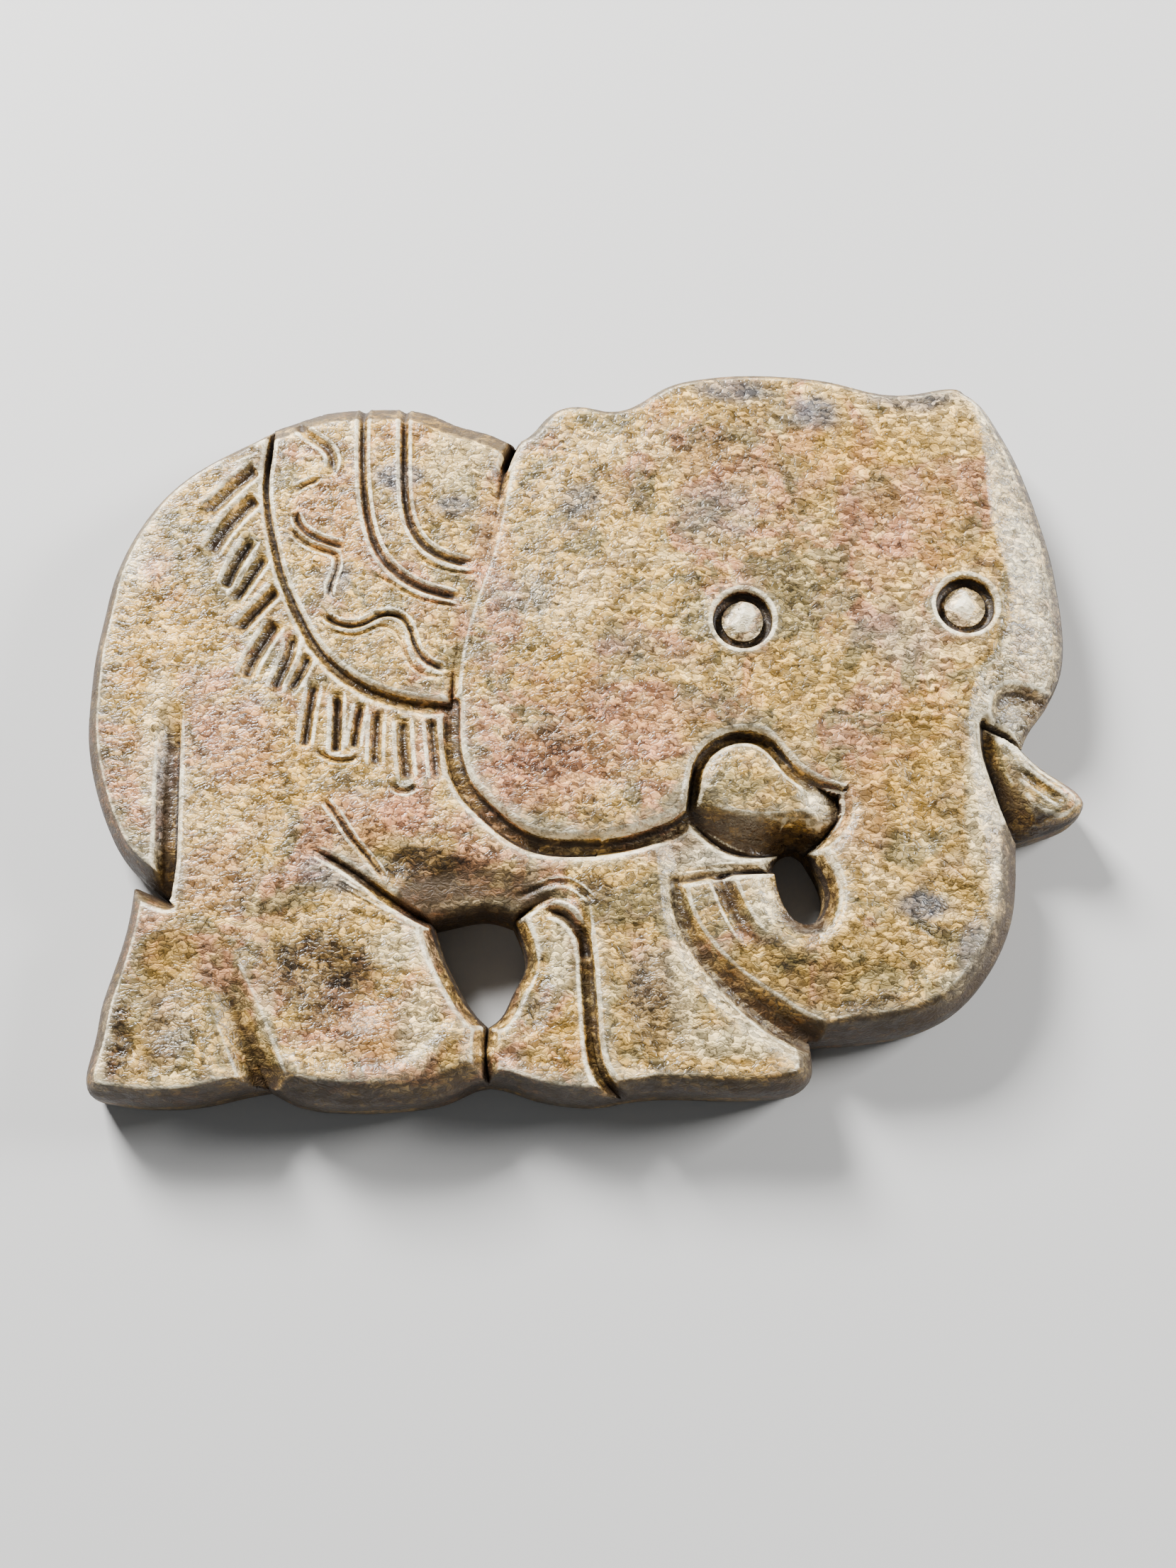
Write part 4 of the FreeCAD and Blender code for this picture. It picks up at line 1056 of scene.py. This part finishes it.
# Clouds laid over the tan stone: which noise, where it starts to show and is full, strength, tone.
CLOUDS = [
    ("broad", 0.40, 0.53, 1, "gold"), ("middle", 0.50, 0.60, 0.85, "olive"),
    ("middle", 0.46, 0.36, 0.85, "straw"), ("small", 0.52, 0.66, 0.45, "umber"),
    ("small", 0.45, 0.32, 0.45, "cream"),
]


def tone(code):
    """Linear colour from a hexadecimal screen colour."""
    channels = [int(code[i:i + 2], 16) / 255 for i in (1, 3, 5)]
    return (*[c / 12.92 if c < 0.04045 else ((c + 0.055) / 1.055) ** 2.4 for c in channels], 1.0)


class Nodes:
    """Short ways to add shader nodes to one material."""

    def __init__(self, material):
        material.use_nodes = True
        self.tree = material.node_tree
        self.tree.nodes.clear()

    def add(self, kind, inputs, **settings):
        """A node with its settings, plain input values and links."""
        node = self.tree.nodes.new(kind)
        for key, value in settings.items():
            setattr(node, key, value)
        for key, value in inputs.items():
            if isinstance(value, bpy.types.NodeSocket):
                self.tree.links.new(value, node.inputs[key])
            else:
                node.inputs[key].default_value = value
        return node

    def noise(self, where, scale, detail, roughness, distortion):
        inputs = {"Vector": where, "Scale": scale, "Detail": detail, "Roughness": roughness,
                  "Distortion": distortion}
        return self.add("ShaderNodeTexNoise", inputs).outputs["Fac"]

    def ramp(self, value, low, high, to_low=0.0, to_high=1.0):
        """Map low..high smoothly to to_low..to_high."""
        inputs = {"Value": value, "From Min": low, "From Max": high, "To Min": to_low,
                  "To Max": to_high}
        node = self.add("ShaderNodeMapRange", inputs, interpolation_type="SMOOTHSTEP")
        return node.outputs["Result"]

    def mix(self, share, one, other):
        """Blend two colours; this node's colour sockets can only be told apart by number."""
        return self.add("ShaderNodeMix", {0: share, 6: one, 7: other}, data_type="RGBA").outputs[2]

    def coat(self, colour, share, name):
        """Lay one of the named tones over a colour."""
        return self.mix(share, colour, tone(TONES[name]))

    def calc(self, operation, one, other):
        return self.add("ShaderNodeMath", {0: one, 1: other}, operation=operation).outputs[0]

    def times(self, one, other):
        return self.calc("MULTIPLY", one, other)

    def mark(self, name):
        """One of the marks that make_piece stored in the mesh."""
        return self.add("ShaderNodeAttribute", {}, attribute_name=name).outputs["Fac"]


def stone_textures(nodes):
    """The noises that the stone's colour, gloss and bump are made from."""
    where = nodes.add("ShaderNodeTexCoord", {}).outputs["Object"]
    moved = nodes.add("ShaderNodeMapping", {"Vector": where, "Location": ELSEWHERE}).outputs[0]
    warp = nodes.add("ShaderNodeTexNoise", {"Vector": where, "Scale": WARP_SCALE, "Detail": 2})
    shift = nodes.add("ShaderNodeVectorMath", {0: warp.outputs["Color"], "Scale": WARP},
                      operation="SCALE").outputs[0]
    bent = nodes.add("ShaderNodeVectorMath", {0: where, 1: shift}, operation="ADD").outputs[0]
    turned = {"Vector": bent, "Rotation": FLAKE_TURN, "Scale": FLAKE_STRETCH}
    slanted = nodes.add("ShaderNodeMapping", turned).outputs[0]
    cells = {"Vector": slanted, "Scale": FLAKE_SCALE}
    flakes = nodes.add("ShaderNodeTexVoronoi", cells).outputs["Color"]
    cracks = nodes.add("ShaderNodeTexVoronoi", cells, feature="DISTANCE_TO_EDGE")
    return SimpleNamespace(
        broad=nodes.noise(where, *BROAD),
        middle=nodes.noise(moved, *MIDDLE),
        small=nodes.noise(where, *SMALL),
        mottle=nodes.noise(slanted, *MOTTLE),
        flake=nodes.add("ShaderNodeSeparateColor", {"Color": flakes}).outputs[0],
        cracks=cracks.outputs["Distance"])


def fresh_colour(nodes, texture):
    """The stone's colour with some painted light: zones of tan and gold, clouds (the cream ones partly
    painted highlight, the brown ones partly painted shade), the facets' painted highlight, light and dark
    flakes.
    """
    small = texture.small
    mottle = texture.mottle
    colour = tone(TONES["tan"])
    for source, low, high, most, name in CLOUDS:
        colour = nodes.coat(colour, nodes.ramp(getattr(texture, source), low, high, 0, most), name)
    broken = nodes.times(nodes.ramp(mottle, 0.40, 0.60, 1, 0.75), nodes.ramp(small, 0.4, 0.62, 1, 0.8))
    for kind, code in PATCH_TONES.items():
        colour = nodes.mix(nodes.times(nodes.mark(kind), broken), colour, tone(code))
    # Painted highlight: the facets and the eye cores are lightened towards the pale facet tone.
    facet = nodes.times(nodes.mark("facet_highlight"), nodes.ramp(small, 0.35, 0.6, 0.85, 0.35))
    colour = nodes.coat(colour, facet, "facet")
    flake = nodes.ramp(texture.flake, 0, 1, 0.42, 1.6)
    value = nodes.times(flake, nodes.ramp(mottle, 0.38, 0.62, 0.6, 1.4))
    value = nodes.times(value, nodes.ramp(texture.cracks, 0, 0.12, 0.3, 1.05))
    flecked = {"Color": colour, "Value": value, "Saturation": 1.05}
    return nodes.add("ShaderNodeHueSaturation", flecked).outputs[0]


def weather(nodes, texture, colour):
    """Paint shade and wear: dark skin with painted shade on the rim bevels, painted shade on flanks,
    hollows and walls, dirt with painted shade in the cuts and crevices, and wear with painted highlights
    on the crests; also say where skin is.
    """
    small = texture.small
    hollow = nodes.mark("hollow")
    hollow_wide = nodes.mark("hollow_wide")
    patchy = nodes.ramp(texture.mottle, 0.35, 0.6, 0.95, 0.6)
    # Painted shade, with some dark skin: the rim bevels are darkened.
    rim = nodes.times(nodes.ramp(nodes.mark("rim"), 0.01, 0.12), nodes.ramp(small, 0.35, 0.6, 0.95, 0.65))
    # Dirt and painted shade in narrow crevices.
    dirt_and_shade = nodes.times(nodes.ramp(hollow, 0.035, 0.15), nodes.ramp(rim, 0.3, 0.9, 1, 0.3))
    shade = nodes.times(nodes.ramp(hollow_wide, 0.06, 0.34), patchy)
    wall = nodes.mark("wall")
    colour = nodes.coat(colour, rim, "rim")
    # Painted shade on the tusk flanks that slope away from the light.
    colour = nodes.coat(colour, nodes.times(nodes.mark("flank"), patchy), "flank")
    colour = nodes.coat(colour, shade, "shade")
    # Dirt and painted shade in the engraved cuts.
    colour = nodes.coat(colour, nodes.ramp(nodes.mark("cut"), 0.12, 0.5, 0, 0.62), "cut")
    colour = nodes.coat(colour, nodes.times(dirt_and_shade, 0.9), "dirt_and_shade")
    # Painted shade on the walls round the plaque and its openings.
    colour = nodes.coat(colour, nodes.times(wall, nodes.ramp(small, 0.35, 0.65, 0.94, 0.74)), "wall")
    # Wear and painted highlights on the crests.
    wear_highlight = nodes.ramp(hollow, -0.016, -0.05)
    wide_wear_highlight = nodes.ramp(hollow_wide, -0.08, -0.35, 0, 0.2)
    crest_wear_and_highlight = nodes.calc("MAXIMUM", wear_highlight, wide_wear_highlight)
    crest_wear_and_highlight = nodes.times(crest_wear_and_highlight, nodes.ramp(texture.mottle, 0.42, 0.56, 0.4, 1))
    crest_wear_and_highlight = nodes.times(crest_wear_and_highlight, nodes.ramp(rim, 0.1, 0.7, 1, 0.05))
    crest_wear_and_highlight = nodes.times(crest_wear_and_highlight, nodes.ramp(small, 0.44, 0.62, 1, 0.5))
    skin = nodes.calc("MAXIMUM", nodes.calc("MAXIMUM", dirt_and_shade, wall), rim)
    return nodes.coat(colour, crest_wear_and_highlight, "crest_wear_and_highlight"), skin


def stone_material():
    """Tan and gold stone, clouded grey and brown, with dirt and painted shade in the cuts and hollows,
    painted shade on walls and rim bevels, and pale crests of wear and painted highlight.
    """
    material = bpy.data.materials.new("stone")
    nodes = Nodes(material)
    texture = stone_textures(nodes)
    colour, skin = weather(nodes, texture, fresh_colour(nodes, texture))
    roughness = nodes.ramp(texture.mottle, 0.38, 0.62, 0.24, 0.38)
    roughness = nodes.calc("ADD", roughness, nodes.times(skin, 0.3))
    height = nodes.calc("ADD", texture.mottle, nodes.ramp(texture.cracks, 0, 0.3, 0, 0.25))
    height = nodes.calc("ADD", height, nodes.times(texture.small, 1.6))
    bump = nodes.add("ShaderNodeBump", {"Height": height, "Strength": BUMP, "Distance": BUMP_DEPTH})
    shader = nodes.add("ShaderNodeBsdfPrincipled", {
        "Base Color": colour, "Roughness": roughness, "Normal": bump.outputs[0],
        "Specular IOR Level": 0.6, "IOR": 1.5})
    output = nodes.add("ShaderNodeOutputMaterial", {"Surface": shader.outputs[0]})
    output.is_active_output = True
    return material


# ---- studio: lengths in metres, but for the camera's place and aim ----

CAMERA_AT = (0.25, -39.67, 148.05)
CAMERA_AIM = (0.25, -4.25, 6)
LENS = 50
SENSOR = 36
CLIP_START = 0.005
FLOOR_HALF = 1.5
FLOOR_CORNERS = [(-1, -1), (1, -1), (1, 1), (-1, 1)]
FLOOR_ROUGHNESS = 0.8
# Each light's place, the size of its square, and its power.
LIGHTS = {
    "key": ((-0.17, 0.26, 0.21), 0.12, 5.4),
    "side": ((0.3, 0.1, 0.17), 0.12, 2.0),
    "fill": ((-0.2, -0.35, 0.3), 0.3, 0.15),
}
SKY_COLOUR = (0.8, 0.85, 0.9, 1)
SKY_STRENGTH = 0.12


def aimed_object(name, data, at, aim):
    """An object with the given data, at one point and looking at another."""
    thing = bpy.data.objects.new(name, data)
    thing.location = at
    thing.rotation_euler = (Vector(aim) - Vector(at)).to_track_quat("-Z", "Y").to_euler()
    bpy.context.scene.collection.objects.link(thing)
    return thing


def add_camera():
    data = bpy.data.cameras.new("camera")
    data.lens = LENS
    data.sensor_width = SENSOR
    data.clip_start = CLIP_START
    camera = aimed_object("camera", data, Vector(CAMERA_AT) * MM, Vector(CAMERA_AIM) * MM)
    bpy.context.scene.camera = camera


def add_floor():
    mesh = bpy.data.meshes.new("floor")
    corners = [(x * FLOOR_HALF, y * FLOOR_HALF, 0) for x, y in FLOOR_CORNERS]
    mesh.from_pydata(corners, [], [(0, 1, 2, 3)])
    floor = bpy.data.objects.new("floor", mesh)
    bpy.context.scene.collection.objects.link(floor)
    paper = bpy.data.materials.new("paper")
    paper.use_nodes = True
    shader = paper.node_tree.nodes["Principled BSDF"]
    shader.inputs["Base Color"].default_value = tone(TONES["floor"])
    shader.inputs["Roughness"].default_value = FLOOR_ROUGHNESS
    mesh.materials.append(paper)


def add_lights():
    """A low key that rakes across the relief, a weaker light from the right, a fill and a sky."""
    for name, (at, size, power) in LIGHTS.items():
        data = bpy.data.lights.new(name, "AREA")
        data.size = size
        data.energy = power
        aimed_object(name, data, at, (0, 0, 0))
    world = bpy.data.worlds.new("studio")
    world.use_nodes = True
    background = world.node_tree.nodes["Background"]
    background.inputs["Color"].default_value = SKY_COLOUR
    background.inputs["Strength"].default_value = SKY_STRENGTH
    bpy.context.scene.world = world


# ---- assembly ----

def main():
    stone = stone_material()
    pieces = build_elements()
    for name, centre in EYES.items():
        floor = face_height("head", np.array([centre]))[0] - EYE_DEPTH
        pieces[name] = build_eye(name, np.array(centre), floor)
    for name, piece in pieces.items():
        piece.data.materials.append(stone)
        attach(piece, "root")
        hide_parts(name)
    add_camera()
    add_floor()
    add_lights()


main()
